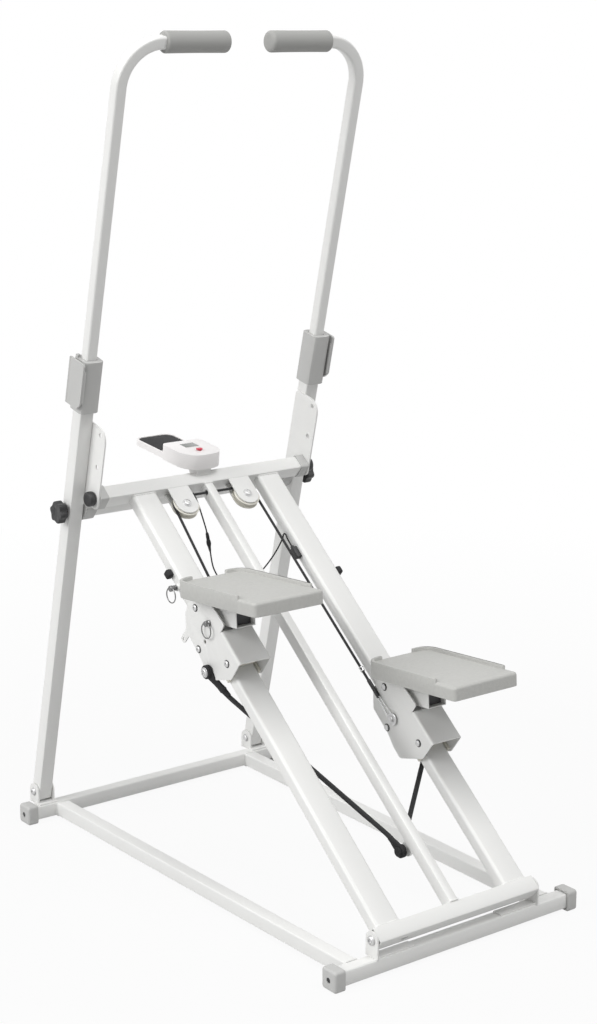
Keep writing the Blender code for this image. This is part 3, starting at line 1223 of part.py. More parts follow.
def rollers(side, frame):
    """Add the two nylon rollers that hold a carriage to its rail."""
    half = ROLLER_WIDTH / 2
    bore = AXLE_RADIUS + RUN_GAP
    places = (
        ("upper", UPPER_ROLLER_REACH, upper_roller_offset(), UPPER_ROLLER_RADIUS),
        ("lower", LOWER_ROLLER_REACH, lower_roller_offset(), LOWER_ROLLER_RADIUS))
    for label, reach, offset, radius in places:
        edge = 0.0015
        profile = [
            (bore, half), (radius - edge, half), (radius, half - edge), (radius, edge - half), (radius - edge, -half),
            (bore, -half)]
        roller = turned(
            f"roller_{label}_{side}", profile, frame, (0, reach, offset), ALONG_X, ring=True)
        finish(roller, NYLON, 0.5)


def pull_pin(side, frame, down):
    """Add the ring pin that locks a pedal arm, in the carriage's outer plate."""
    sign = SIDES[side]
    origin = Vector((sign * (CARRIAGE_OUTER_HALF + RUN_GAP), LOCK_HOLE[0], LOCK_HOLE[1]))
    length_in = CARRIAGE_OUTER_HALF + RUN_GAP - ARM_WIDTH / 2 - 2 * RUN_GAP
    ring_pin(f"pull_pin_{side}", frame, origin, sign, length_in, PLATE, down)


def arm_floor_line(tilt):
    """Return two points (y, z) of the line that keeps an arm clear of the rail, in the pedal frame."""
    drop = ARM_PIVOT[1] - RAIL_TOP - ARM_RAIL_GAP
    normal = Vector((math.sin(tilt), -math.cos(tilt)))
    along = Vector((math.cos(tilt), math.sin(tilt)))
    foot = normal * drop
    rear_y = foot.x + along.x * (ARM_BOTTOM - foot.y) / along.y
    front_z = foot.y + along.y * (ARM_FRONT - foot.x) / along.x
    return (rear_y, ARM_BOTTOM), (ARM_FRONT, front_z)


def pedal_arm(side, frame):
    """Add the open tube that holds a pedal, with cheeks that straddle the carriage's pivot bolt."""
    rear_low, front_low = arm_floor_line(SLOPE + PEDAL_TILT)
    top = PEDAL_DECK - PEDAL_HEIGHT - TOUCH_GAP
    outline = [(ARM_FRONT, top), (ARM_REAR, top), (ARM_REAR, ARM_BOTTOM), rear_low, front_low]
    arm = flat(f"pedal_arm_{side}", [outline], ARM_WIDTH, frame, (0, 0, 0), ALONG_X)
    opening = [
        (2 * ARM_FRONT, top - ARM_WALL), (2 * ARM_REAR, top - ARM_WALL), (2 * ARM_REAR, ARM_BOTTOM + ARM_WALL),
        (rear_low[0] * 2, ARM_BOTTOM + ARM_WALL), (rear_low[0] * 2, 3 * ARM_BOTTOM), (2 * ARM_FRONT, 3 * ARM_BOTTOM)]
    cut(arm, flat(
        f"arm_opening_{side}", [opening], ARM_WIDTH - 2 * ARM_WALL, frame, (0, 0, 0), ALONG_X, tool=True))
    cut(arm, cylinder(
        f"arm_pivot_hole_{side}", ARM_BOLT_RADIUS + TOUCH_GAP, 2 * ARM_WIDTH, frame, (0, 0, 0), ALONG_X, HOLE_SIDES,
        tool=True))
    finish(arm, WHITE, 0.35)


def pedal(side, frame):
    """Add a moulded pedal: a ribbed tray with a lip along each side and round its front corners."""
    half = PEDAL_WIDTH / 2
    front = PEDAL_FRONT
    rear = PEDAL_REAR
    outline = rounded([
        (half, front, PEDAL_FRONT_ROUNDING), (-half, front, PEDAL_FRONT_ROUNDING),
        (-half, rear, PEDAL_REAR_ROUNDING), (half, rear, PEDAL_REAR_ROUNDING)], 5)
    middle = PEDAL_DECK - PEDAL_HEIGHT / 2
    body = flat(f"pedal_{side}", [outline], PEDAL_HEIGHT, frame, (0, 0, middle))
    columns = PEDAL_POCKETS_ACROSS
    rows = PEDAL_POCKETS_ALONG
    span_x = PEDAL_WIDTH - 2 * PEDAL_WALL
    span_y = front - rear - 2 * PEDAL_WALL - PEDAL_FRONT_ROUNDING / 3
    pocket_x = (span_x - (columns - 1) * PEDAL_RIB) / columns
    pocket_y = (span_y - (rows - 1) * PEDAL_RIB) / rows
    pocket_top = PEDAL_DECK - PEDAL_DECK_THICKNESS
    for column in range(columns):
        for row in range(rows):
            x = -span_x / 2 + pocket_x / 2 + column * (pocket_x + PEDAL_RIB)
            y = rear + PEDAL_WALL + pocket_y / 2 + row * (pocket_y + PEDAL_RIB)
            corner = PEDAL_REAR_ROUNDING - PEDAL_WALL
            pocket = flat(
                f"pedal_pocket_{side}_{column}_{row}", [rectangle(pocket_x, pocket_y, corner, 1)],
                2 * (pocket_top - PEDAL_DECK + PEDAL_HEIGHT), frame, (x, y, PEDAL_DECK - PEDAL_HEIGHT), tool=True)
            cut(body, pocket)
    outer = half - TOUCH_GAP
    lip_front = front - TOUCH_GAP
    inner = outer - LIP_WIDTH
    open_half = LIP_FRONT_OPENING / 2
    for label, way in (("left", -1), ("right", 1)):
        corners = [
            (way * outer, LIP_REAR, 0), (way * outer, lip_front, PEDAL_FRONT_ROUNDING),
            (way * open_half, lip_front, 0), (way * open_half, lip_front - LIP_WIDTH, 0),
            (way * inner, lip_front - LIP_WIDTH, PEDAL_FRONT_ROUNDING - LIP_WIDTH),
            (way * inner, LIP_REAR, 0)]
        lip_middle = PEDAL_DECK + (LIP_HEIGHT - BITE) / 2
        lip = flat(
            f"pedal_lip_{label}_{side}", [rounded(corners, 5)], LIP_HEIGHT + BITE, frame, (0, 0, lip_middle),
            tool=True)
        add(body, lip)
    finish(body, PEDAL_GREY, 0.6)


def resistance_band(side, frame):
    """Add the elastic band from a carriage's outer plate, under its rail, to the strut's tab."""
    sign = SIDES[side]
    eye_x = sign * (RAIL_X + CARRIAGE_OUTER_HALF + TOUCH_GAP + BAND_EYE_WIDTH / 2)
    reach = CARRIAGE_REACH[side]
    upper = Vector((eye_x, reach + BAND_BOLT_REACH, BAND_BOLT_OFFSET))
    lower = Vector((sign * BAND_PIN_X, BAND_PIN_REACH, BAND_PIN_OFFSET))
    leave = upper + Vector((0, -0.026, -0.007))
    start = upper + Vector((0, -BAND_EYE_RADIUS * 0.8, -0.003))
    approach = lower + Vector((sign * BAND_APPROACH[0], BAND_APPROACH[1], BAND_APPROACH[2]))
    end = lower + Vector((sign * BAND_APPROACH[0] / 6, BAND_EYE_RADIUS * 0.8, BAND_APPROACH[2] / 6))
    points = [start, leave]
    for step in range(1, BAND_STEPS + 1):
        t = step / BAND_STEPS
        sag = BAND_SAG * 4 * t * (1 - t)
        points.append(leave.lerp(approach, t) + Vector((0, -sag * math.sin(SLOPE), -sag * math.cos(SLOPE))))
    points.append(end)
    band = wire(f"resistance_band_{side}", smooth_route(points, 2), BAND_RADIUS, frame)
    for label, centre in (("upper", upper), ("lower", lower)):
        bore = BAND_BOLT_RADIUS + TOUCH_GAP
        half = BAND_EYE_WIDTH / 2
        profile = [(bore, half), (BAND_EYE_RADIUS, half), (BAND_EYE_RADIUS, -half), (bore, -half)]
        eye = turned(f"band_eye_{label}_{side}", profile, frame, centre, ALONG_X, ring=True, tool=True)
        add(band, eye)
        clearing = cylinder(
            f"band_eye_hole_{label}_{side}", bore, 2 * BAND_EYE_WIDTH, frame, centre, ALONG_X, tool=True)
        cut(band, clearing)
    finish(band, BLACK, 0.7)


def build():
    """Build the whole climber."""
    base_name_rows = (("front", FRONT_WIDTH, FRONT_Y), ("rear", REAR_WIDTH, REAR_Y))
    front_beam()
    rear_beam()
    side_tubes()
    for name, width, y in base_name_rows:
        end_caps(name, width, y)
    pivot_shaft()
    hinge_bolts()

    post_frame = empty("post_frame_axis", None, HINGE, LEAN)
    posts(post_frame)
    star_knobs(post_frame)
    slope_knobs(post_frame)
    handles(post_frame)
    grips(post_frame)
    clamps(post_frame)

    rail_frame = empty("rail_frame_axis", None, PIVOT, SLOPE)
    down = Vector((0, -math.sin(SLOPE), -math.cos(SLOPE)))
    rails(rail_frame)
    centre_strut(rail_frame)
    pivot_tube(rail_frame)
    top_beam(rail_frame)
    beam_spot = Vector((0, BEAM_REACH, BEAM_OFFSET))
    end_sleeves("beam_sleeve", BEAM_SLEEVE, BEAM_SLEEVE_LENGTH, BEAM_TUBE, rail_frame, beam_spot)
    crossbar(rail_frame)
    pulleys(rail_frame)
    drive_rope(rail_frame)
    bumpers(rail_frame)
    rail_plunger(rail_frame, down)
    sensor(rail_frame)
    sensor_cable(rail_frame)
    monitor_spot = (0, BEAM_CENTRE.y, BEAM_CENTRE.z + MONITOR_LIFT)
    monitor(empty("monitor_frame", None, monitor_spot, MONITOR_TILT))

    for side, sign in SIDES.items():
        carriage_frame = empty(f"carriage_frame_{side}", rail_frame, (sign * RAIL_X, CARRIAGE_REACH[side], 0))
        carriage(side, carriage_frame)
        rollers(side, carriage_frame)
        pull_pin(side, carriage_frame, down)
        pedal_frame = empty(
            f"pedal_frame_{side}", carriage_frame, (0, ARM_PIVOT[0], ARM_PIVOT[1]), -(SLOPE + PEDAL_TILT))
        pedal_arm(side, pedal_frame)
        pedal(side, pedal_frame)
        resistance_band(side, rail_frame)
    bpy.context.view_layer.update()


build()
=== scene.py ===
"""Finish and small hardware for a folding stair climber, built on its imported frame.

Every mesh is made in the row frame, in metres. Three working frames place the pieces: RAIL (across,
along the rails, off the rails) from the rear pivot, POST (across, forward, up the post) from the front
hinges, and a frame for each pedal and carriage.
"""
import json
import math

import bmesh
import bpy
from bpy.props import FloatProperty, FloatVectorProperty, PointerProperty
from mathutils import Matrix, Vector

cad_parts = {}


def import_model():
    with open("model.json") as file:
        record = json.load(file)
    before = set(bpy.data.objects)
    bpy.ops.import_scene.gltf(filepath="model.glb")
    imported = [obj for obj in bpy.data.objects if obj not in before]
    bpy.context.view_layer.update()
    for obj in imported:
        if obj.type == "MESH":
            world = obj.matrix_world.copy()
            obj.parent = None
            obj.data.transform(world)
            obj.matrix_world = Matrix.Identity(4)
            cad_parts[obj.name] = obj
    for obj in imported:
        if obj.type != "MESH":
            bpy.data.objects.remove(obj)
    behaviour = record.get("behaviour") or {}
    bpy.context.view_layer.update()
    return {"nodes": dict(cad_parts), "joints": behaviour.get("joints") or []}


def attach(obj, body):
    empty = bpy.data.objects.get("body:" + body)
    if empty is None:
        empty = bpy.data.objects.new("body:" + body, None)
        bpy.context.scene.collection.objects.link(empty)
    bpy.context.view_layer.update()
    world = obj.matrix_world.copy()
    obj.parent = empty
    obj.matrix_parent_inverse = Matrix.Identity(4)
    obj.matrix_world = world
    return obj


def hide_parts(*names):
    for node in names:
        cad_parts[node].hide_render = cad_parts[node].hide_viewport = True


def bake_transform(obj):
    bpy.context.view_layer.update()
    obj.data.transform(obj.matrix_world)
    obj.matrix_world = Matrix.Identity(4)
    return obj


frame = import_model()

bl_info = {
    "name": "Stair climber",
    "version": (1, 0, 0),
    "blender": (4, 5, 0),
    "location": "View3D > Sidebar > Climber",
    "description": "Builds the finish and the small hardware of a folding stair climber",
    "category": "Object",
}

JOINTS = {joint["name"]: joint for joint in frame["joints"]}
SIDES = {"left": -1.0, "right": 1.0}
ACROSS = Vector((1, 0, 0))
UP = Vector((0, 0, 1))


def axes(origin, x, y, z):
    """Return the matrix of a working frame."""
    matrix = Matrix.Identity(4)
    for column, vector in enumerate((x, y, z, origin)):
        matrix.col[column][:3] = vector
    return matrix


def joint_place(name):
    """Return a joint's point in the row frame."""
    return Vector(JOINTS[name]["pos_m"])


RAIL_UP = Vector(JOINTS["carriage_slide_left"]["axis"]).normalized()
POST_UP = Vector(JOINTS["handle_slide_left"]["axis"]).normalized()
PIVOT = joint_place("rail_pivot")
HINGE = joint_place("post_pivot_left") * Vector((0, 1, 1))
WORLD = Matrix.Identity(4)
RAIL = axes(PIVOT, ACROSS, RAIL_UP, ACROSS.cross(RAIL_UP))
POST = axes(HINGE, ACROSS, POST_UP.cross(ACROSS), POST_UP)
ALONG_X = Matrix(((0, 0, 1, 0), (1, 0, 0, 0), (0, 1, 0, 0), (0, 0, 0, 1)))
ALONG_Y = Matrix(((0, 1, 0, 0), (0, 0, 1, 0), (1, 0, 0, 0), (0, 0, 0, 1)))

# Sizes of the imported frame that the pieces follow
TUBE_WALL = 0.0015
BASE_TUBE = 0.0256
CAP_SIZE = 0.036
CAP_LENGTH = 0.0212
CAP_EDGE = 0.0045
FRONT_WIDTH = 0.594
REAR_WIDTH = 0.525
BASE_LENGTH = 0.8869
REAR_Y = -0.450125
SIDE_TUBE_FRONT_X = 0.2202
SIDE_TUBE_REAR_X = 0.2072
PIVOT_TUBE = 0.028
PIVOT_TUBE_HALF = 0.1712
SHAFT_HALF = PIVOT_TUBE_HALF + 0.0038
DRAIN_SLOT_FROM_END = 0.055
POST_X = 0.2478
POST_TUBE = 0.0275
HINGE_FACE = 0.01785
HINGE_BOLT_HALF = 0.0185
SLOPE_HOLE = (0.629, 0.0412)
STAR_HOLE = 0.590
HANDLE_TUBE = 0.0215
HANDLE_BOTTOM = 0.700
HANDLE_TOP = 1.428
HANDLE_BEND = 0.075
HANDLE_END_X = 0.052
GRIP_SPAN = (0.043, 0.171)
GRIP_RADIUS = 0.0185
RAIL_X = 0.137
RAIL_WIDTH = 0.0493
RAIL_DEPTH = 0.025
RAIL_TOP = 0.0108
RAIL_ROUNDING = 0.006
STRUT_WIDTH = 0.0176
STRUT_DEPTH = 0.0236
STRUT_TOP = 0.0143
BEAM_REACH = 0.9265
BEAM_TUBE = 0.028
STOPS = {"left": (0.745, -0.004), "right": (0.680, 0.002)}
PLUNGER = (0.713, -0.001)
PULLEY = (0.067, 0.875, 0.005)
PULLEY_PITCH = 0.022
PULLEY_FORK_HALF = 0.0094
CARRIAGE_REACH = {"left": 0.6000, "right": 0.3656}
CARRIAGE_HALF = 0.0335
CARRIAGE_TOP = 0.050
CARRIAGE_BEND = 0.0055
HOOD_SPAN = (-0.0908, -0.0218)
SHEET = 0.0025
ARM_PIVOT = (0.053, 0.0195)
AXLE_HALF = 0.033
UPPER_ROLLER = (-0.068, 0.0198)
LOWER_ROLLER = (0.0, -0.0302)
LOCK_HOLE = (0.010, 0.032)
BAND_BOLT = (-0.045, -0.034)
BAND_PIN = (0.0140, 0.137, -0.024)
BAND_EYE_HALF = 0.0047
BAND_FROM_CLIP = (0.030, 0.050, 0.062)
BAND_SAG = -0.16
BAND_STILL = 0.045
ANCHOR = (0.0375, -0.003)
ROPE_START = 0.052
PEDAL_TILT = math.radians(3.9)
PEDAL_WIDTH = 0.1432
PEDAL_SPAN = (-0.2293, 0.006)
PEDAL_DECK = 0.0495
PEDAL_HEIGHT = 0.024
PEDAL_EDGE = 0.0050
PEDAL_WALL = 0.003
PEDAL_TOE = 0.028
PEDAL_HEEL = 0.0075
PEDAL_RIBS = (0.26, 0.5, 0.74)
PEDAL_LIP = 0.0062
PEDAL_LIP_PROUD = 0.00015
PEDAL_LIP_DEPTH = 0.0060
PEDAL_LIP_ENDS = ((-1, -0.181), (1, -0.198))
ARM_WIDTH = 0.040
ARM_REAR = -0.1015
ARM_BOTTOM = -0.0227
SENSOR = (0.738, -0.002)
MONITOR_RISE = 0.0272
MONITOR_TILT = math.radians(6.3)
GAP = 0.0003
WASHER = 0.0009


def length(label, description, value):
    """Return a length property."""
    return FloatProperty(name=label, description=description, default=value, unit="LENGTH")


class ClimberSizes(bpy.types.PropertyGroup):
    """Sizes of the small hardware."""
    rope: length("Rope", "Diameter of the drive rope", 0.005)
    band: length("Band", "Diameter of the elastic bands", 0.0088)
    cable: length("Cable", "Diameter of the sensor cable", 0.0027)
    bolt: length("Bolt", "Width of a carriage bolt's head", 0.011)
    ring: length("Ring", "Diameter of a pull pin's ring", 0.027)
    weld: length("Weld", "Thickness of a weld bead", 0.0032)
    floor: length("Floor", "Width of the studio floor", 40.0)
    lens: FloatProperty(name="Lens", description="Focal length of the camera in millimetres", default=71.33)


def colour(label, description, value):
    """Return a colour property."""
    return FloatVectorProperty(
        name=label, description=description, default=value, subtype="COLOR", size=3, min=0.0, max=1.0)


class ClimberColours(bpy.types.PropertyGroup):
    """Colours of the finishes."""
    paint: colour("Paint", "White powder coat of the frame", (0.815, 0.815, 0.80))
    plastic: colour("Plastic", "Grey of the caps, sleeves and clamps", (0.52, 0.52, 0.51))
    pedal: colour("Pedal", "Grey of the pedals", (0.50, 0.50, 0.48))
    foam: colour("Foam", "Grey of the grips", (0.53, 0.53, 0.52))
    # This black also paints shade: the blocks in the arms' mouths and behind the drain slot, the discs in the
    # caps' holes and the washers under the carriage bolts.
    black: colour("Black", "Black of the knobs, rope and bands", (0.022, 0.022, 0.023))
    steel: colour("Steel", "Zinc of the bolts", (0.58, 0.58, 0.57))
    ring: colour("Ring", "Darker steel of the pull pins and their rings", (0.22, 0.22, 0.22))
    shell: colour("Shell", "White of the monitor's housing", (0.86, 0.84, 0.835))
    button: colour("Button", "Red of the monitor's button", (0.62, 0.04, 0.08))
    nylon: colour("Nylon", "Off-white of the rollers and guides", (0.50, 0.48, 0.42))
    cream: colour("Cream", "Cream of the pulleys", (0.72, 0.70, 0.63))
    display: colour("Display", "Grey of the unlit display", (0.20, 0.21, 0.20))


# Shader expressions

class Value:
    """A shader socket that takes part in Python expressions."""

    def __init__(self, shader, socket):
        self.shader = shader
        self.socket = socket

    def maths(self, operation, other):
        """Add a Math node and return its result."""
        return self.shader.add("ShaderNodeMath", {"operation": operation}, {0: self, 1: other})

    def __add__(self, other):
        return self.maths("ADD", other)

    def __mul__(self, other):
        return self.maths("MULTIPLY", other)

    __radd__ = __add__
    __rmul__ = __mul__


class Shader:
    """The nodes of a material or a world, written as expressions."""

    def __init__(self, owner):
        self.owner = owner
        self.owner.use_nodes = True
        self.tree = self.owner.node_tree
        self.surface = self.tree.nodes.get("Principled BSDF")
        self.place = None

    def add(self, kind, settings=None, inputs=None, output=0):
        """Add a node with its settings first, then its inputs, and return one of its outputs, if any."""
        node = self.tree.nodes.new(kind)
        for key, value in (settings or {}).items():
            setattr(node, key, value)
        for key, value in (inputs or {}).items():
            self.feed(node.inputs[key], value)
        return None if output is None else Value(self, node.outputs[output])

    def feed(self, socket, value):
        """Link an expression to a socket, or set the socket."""
        if isinstance(value, Value):
            self.tree.links.new(value.socket, socket)
        else:
            socket.default_value = value

    def set(self, **inputs):
        """Set or link inputs of the surface, named with underscores."""
        for key, value in inputs.items():
            label = "Specular IOR Level" if key == "specular" else key.replace("_", " ").title()
            self.feed(self.surface.inputs[label], value)

    def where(self, stretch=None):
        """Return the place on the surface in metres, stretched."""
        if self.place is None:
            self.place = self.add("ShaderNodeTexCoord", output="Object")
        if stretch is None:
            return self.place
        return self.add("ShaderNodeVectorMath", {"operation": "MULTIPLY"}, {0: self.place, 1: stretch})

    def noise(self, scale, detail=2.0, stretch=None):
        """Return a smooth random value over the surface."""
        return self.add(
            "ShaderNodeTexNoise", None, {"Vector": self.where(stretch), "Scale": scale, "Detail": detail})

    def cells(self, scale):
        """Return the distance to the nearest of many random points."""
        return self.add("ShaderNodeTexVoronoi", None, {"Vector": self.where(), "Scale": scale}, "Distance")

    def waves(self, scale, direction):
        """Return bands across the surface."""
        return self.add(
            "ShaderNodeTexWave", {"bands_direction": direction, "wave_profile": "SIN"},
            {"Vector": self.where(), "Scale": scale}, 1)

    def blend(self, mask, low, high):
        """Mix two colours by a mask."""
        return self.add(
            "ShaderNodeMix", {"data_type": "RGBA"}, {0: mask, 6: (*low, 1.0), 7: (*high, 1.0)}, 2)

    def coat(self, tint, mask, low, high, roughness, **more):
        """Set the surface's roughness, and its colour from a darker to a lighter share by a mask."""
        colours = self.blend(mask, shade(tint, low), shade(tint, high))
        self.set(base_color=colours, roughness=roughness, **more)

    def relief(self, height, strength, depth):
        """Feed the surface's normal from a height, and return the material."""
        self.set(normal=self.add(
            "ShaderNodeBump", None, {"Strength": strength, "Distance": depth, "Height": height}))
        return self.owner

    def glow(self, kind, strength):
        """Return a white shader that gives light."""
        return self.add(kind, None, {"Color": (1, 1, 1, 1), "Strength": strength})

    def seen(self):
        """Return 1 for the camera's rays, reflections and clear materials, and 0 for the rest."""
        rays = [
            self.add("ShaderNodeLightPath", output=f"Is {kind} Ray")
            for kind in ("Camera", "Glossy", "Transmission")]
        return rays[0] + rays[1] + rays[2]

    def mix(self, factor, low, high):
        """Mix two shaders."""
        return self.add("ShaderNodeMixShader", None, {0: factor, 1: low, 2: high})


def shade(value, factor):
    """Return a colour made lighter or darker."""
    return tuple(min(1.0, channel * factor) for channel in value)


def paint_finish(made, tint):
    """Powder coat: a fine orange peel over a faintly uneven white."""
    made.coat(tint, made.noise(7.0, 3.0), 0.972, 1.012, 0.30 + made.noise(60.0) * 0.10, specular=0.45)
    return made.relief(made.noise(1500.0, 1.0) * 0.7 + made.noise(420.0, 2.0) * 0.5, 0.10, 0.0003)


def plastic_finish(made, tint, rough):
    """Moulded plastic with a fine spark-eroded grain."""
    made.coat(tint, made.noise(9.0, 3.0), 0.95, 1.03, rough + made.noise(90.0) * 0.10)
    return made.relief(made.noise(900.0, 3.0), 0.22, 0.0004)


def pedal_finish(made, tint):
    """Moulded plastic with a leather-like grain."""
    grain = made.noise(170.0, 4.0)
    made.coat(tint, grain, 0.90, 1.07, 0.46 + made.noise(90.0) * 0.12)
    return made.relief(grain + made.noise(700.0, 2.0) * 0.35, 0.40, 0.0010)


def foam_finish(made, tint):
    """Closed foam with open cells at its skin."""
    cell = made.cells(650.0)
    made.coat(tint, cell * 1.6, 0.86, 1.05, 0.86 + made.noise(120.0) * 0.08, specular=0.25)
    return made.relief(cell + made.noise(1200.0) * 0.4, 0.45, 0.0006)


def metal_finish(made, tint):
    """Bright zinc, drawn and slightly cloudy."""
    cloud = made.noise(45.0, 3.0)
    made.coat(tint, cloud, 0.85, 1.08, 0.24 + cloud * 0.14, metallic=1.0)
    return made.relief(made.noise(900.0, 2.0, (1, 1, 0.2)), 0.12, 0.0003)


def rubber_finish(made, tint):
    """Matt rubber."""
    made.coat(tint, made.noise(30.0, 3.0), 0.8, 1.4, 0.62 + made.noise(150.0) * 0.14, specular=0.25)
    return made.relief(made.noise(1500.0, 2.0), 0.3, 0.0003)


def cord_finish(made, tint):
    """Woven cover of a rope or band."""
    weave = made.waves(520.0, "DIAGONAL") + made.waves(430.0, "Z")
    made.coat(tint, weave * 0.5, 0.7, 1.9, 0.78 + made.noise(200.0) * 0.1)
    return made.relief(weave, 0.5, 0.0005)


def gloss_finish(made, tint, rough):
    """Smooth moulded plastic with a soft gloss."""
    made.coat(tint, made.noise(12.0, 2.0), 0.975, 1.01, rough + made.noise(80.0) * 0.06)
    return made.relief(made.noise(800.0, 2.0), 0.06, 0.0003)


# Each finish: its maker, its colour, the colour's share, its roughness and the name of its slot
FINISHES = {
    "paint": (paint_finish, "paint", 1.0, (), "white_paint"),
    "plastic": (plastic_finish, "plastic", 1.0, (0.46,), "grey_plastic"),
    "pedal": (pedal_finish, "pedal", 1.0, (), "pedal_plastic"),
    "foam": (foam_finish, "foam", 1.0, (), "foam"),
    # knob: black plastic of the knobs, sensor and rope sleeve; it also paints shade in the caps' holes, behind
    # the drain slot and under the carriage bolts.
    "knob": (plastic_finish, "black", 1.0, (0.42,), "black_plastic"),
    # plug: a lighter black for the block in each arm's mouth, painted shade inside the tube.
    "plug": (plastic_finish, "black", 3.0, (0.6,), "black_plastic"),
    "rubber": (rubber_finish, "black", 1.0, (), "black_rubber"),
    "rope": (cord_finish, "black", 1.0, (), "black_rope"),
    "steel": (metal_finish, "steel", 1.0, (), "steel"),
    "ring": (metal_finish, "ring", 1.0, (), "steel"),
    "shell": (gloss_finish, "shell", 1.0, (0.30,), "white_plastic"),
    "button": (gloss_finish, "button", 1.0, (0.28,), "red_plastic"),
    "nylon": (gloss_finish, "nylon", 1.0, (0.42,), "nylon"),
    "cream": (gloss_finish, "cream", 1.0, (0.40,), "grey_plastic"),
    "display": (gloss_finish, "display", 1.0, (0.10,), "black_plastic"),
}


def finish(name):
    """Return one of the climber's materials, made when first asked for."""
    if name in bpy.data.materials:
        return bpy.data.materials[name]
    maker, tint, share, rough, _ = FINISHES[name]
    tint = shade(getattr(bpy.context.scene.climber_colours, tint), share)
    return maker(Shader(bpy.data.materials.new(name)), tint, *rough)


# Mesh tools

def spot(base, place, basis=WORLD, flip=False):
    """Return a matrix at a place of a working frame, its Z turned to the basis, or the other way."""
    turned = basis @ Matrix.Rotation(math.pi, 4, "Y") if flip else basis
    return base @ Matrix.Translation(place) @ turned


def facing(base, sign, x, y, z):
    """Return a matrix at a place mirrored by the sign, its Z turned outward across the machine."""
    return spot(base, (sign * x, y, z), ALONG_X, sign < 0)


def lift(matrix, height):
    """Return a matrix moved along its own Z."""
    return matrix @ Matrix.Translation((0, 0, height))


def circle(radius, centre=(0.0, 0.0), steps=24):
    """Return a circle's points."""
    turns = [math.tau * step / steps for step in range(steps)]
    return [(centre[0] + radius * math.cos(turn), centre[1] + radius * math.sin(turn)) for turn in turns]


def arc(steps):
    """Return the sine and cosine at each step of a quarter turn."""
    turns = [math.pi / 2 * step / steps for step in range(steps + 1)]
    return [(math.sin(turn), math.cos(turn)) for turn in turns]


def loft(bm, rings, around=False):
    """Skin a row of like rings, capped at its ends or closed all around."""
    rows = [[bm.verts.new(point) for point in ring] for ring in rings]
    pairs = list(zip(rows, rows[1:]))
    if around:
        pairs.append((rows[-1], rows[0]))
    else:
        bm.faces.new(rows[0][::-1])
        bm.faces.new(rows[-1])
    count = len(rows[0])
    for low, high in pairs:
        for index in range(count):
            after = (index + 1) % count
            bm.faces.new((low[index], low[after], high[after], high[index]))


def stack(bm, matrix, rows, around=False):
    """Skin outlines that stand at heights along the matrix's Z."""
    loft(bm, [[matrix @ Vector((p[0], p[1], z)) for p in outline] for outline, z in rows], around)


def rounded(corners, steps=6):
    """Return an outline's points from its corners (x, y, radius)."""
    points = []
    for index, (x, y, radius) in enumerate(corners):
        here = Vector((x, y))
        if radius <= 0.0:
            points.append(here)
            continue
        back = (Vector(corners[index - 1][:2]) - here).normalized()
        ahead = (Vector(corners[(index + 1) % len(corners)][:2]) - here).normalized()
        half = back.angle(ahead) / 2
        centre = here + (back + ahead).normalized() * (radius / math.sin(half))
        start = here + back * (radius / math.tan(half)) - centre
        end = here + ahead * (radius / math.tan(half)) - centre
        angle = start.angle_signed(end)
        points += [centre + Matrix.Rotation(-angle * step / steps, 2) @ start for step in range(steps + 1)]
    return points


def rectangle(width, height, radius, steps=6):
    """Return a rounded rectangle about the origin."""
    x, y = width / 2, height / 2
    return rounded([(x, y, radius), (-x, y, radius), (-x, -y, radius), (x, -y, radius)], steps)


def square_tube(bm, matrix, width, height, radius, low, high):
    """Add a hollow tube along the matrix's Z, with its cut ends just broken."""
    edge = 0.0003
    outer = rectangle(width, height, radius)
    shy = rectangle(width - 2 * edge, height - 2 * edge, radius - edge)
    inner = rectangle(width - 2 * TUBE_WALL, height - 2 * TUBE_WALL, radius - TUBE_WALL)
    stack(bm, matrix, (
        (inner, low), (shy, low), (outer, low + edge), (outer, high - edge), (shy, high), (inner, high)), True)


def lathe(bm, matrix, profile, steps=40):
    """Turn a profile of (radius, height) about the matrix's Z."""
    rows = []
    for radius, height in profile:
        ring = circle(radius, steps=steps) if radius > 0.0 else [(0.0, 0.0)]
        rows.append([bm.verts.new(matrix @ Vector((x, y, height))) for x, y in ring])
    closed = profile[0][0] > 0.0 and profile[-1][0] > 0.0
    for low, high in list(zip(rows, rows[1:])) + ([(rows[-1], rows[0])] if closed else []):
        for step in range(steps):
            after = (step + 1) % steps
            if len(low) == 1:
                bm.faces.new((low[0], high[after], high[step]))
            elif len(high) == 1:
                bm.faces.new((low[step], low[after], high[0]))
            else:
                bm.faces.new((low[step], low[after], high[after], high[step]))


def rod(bm, matrix, radius, low, high, steps=20):
    """Add a plain rod along the matrix's Z."""
    lathe(bm, matrix, [(0, low), (radius, low), (radius, high), (0, high)], steps)


def hang_ring(bm, pin, reach, bite):
    """Hang a wire ring from a pull pin, at a reach along the pin's Z."""
    radius = bpy.context.scene.climber_sizes.ring / 2
    middle = pin @ Vector((0, 0, reach)) - UP * (radius - bite)
    lathe(bm, Matrix.Translation(middle) @ ALONG_X, circle(0.0011, (radius, 0.0), 12), 48)


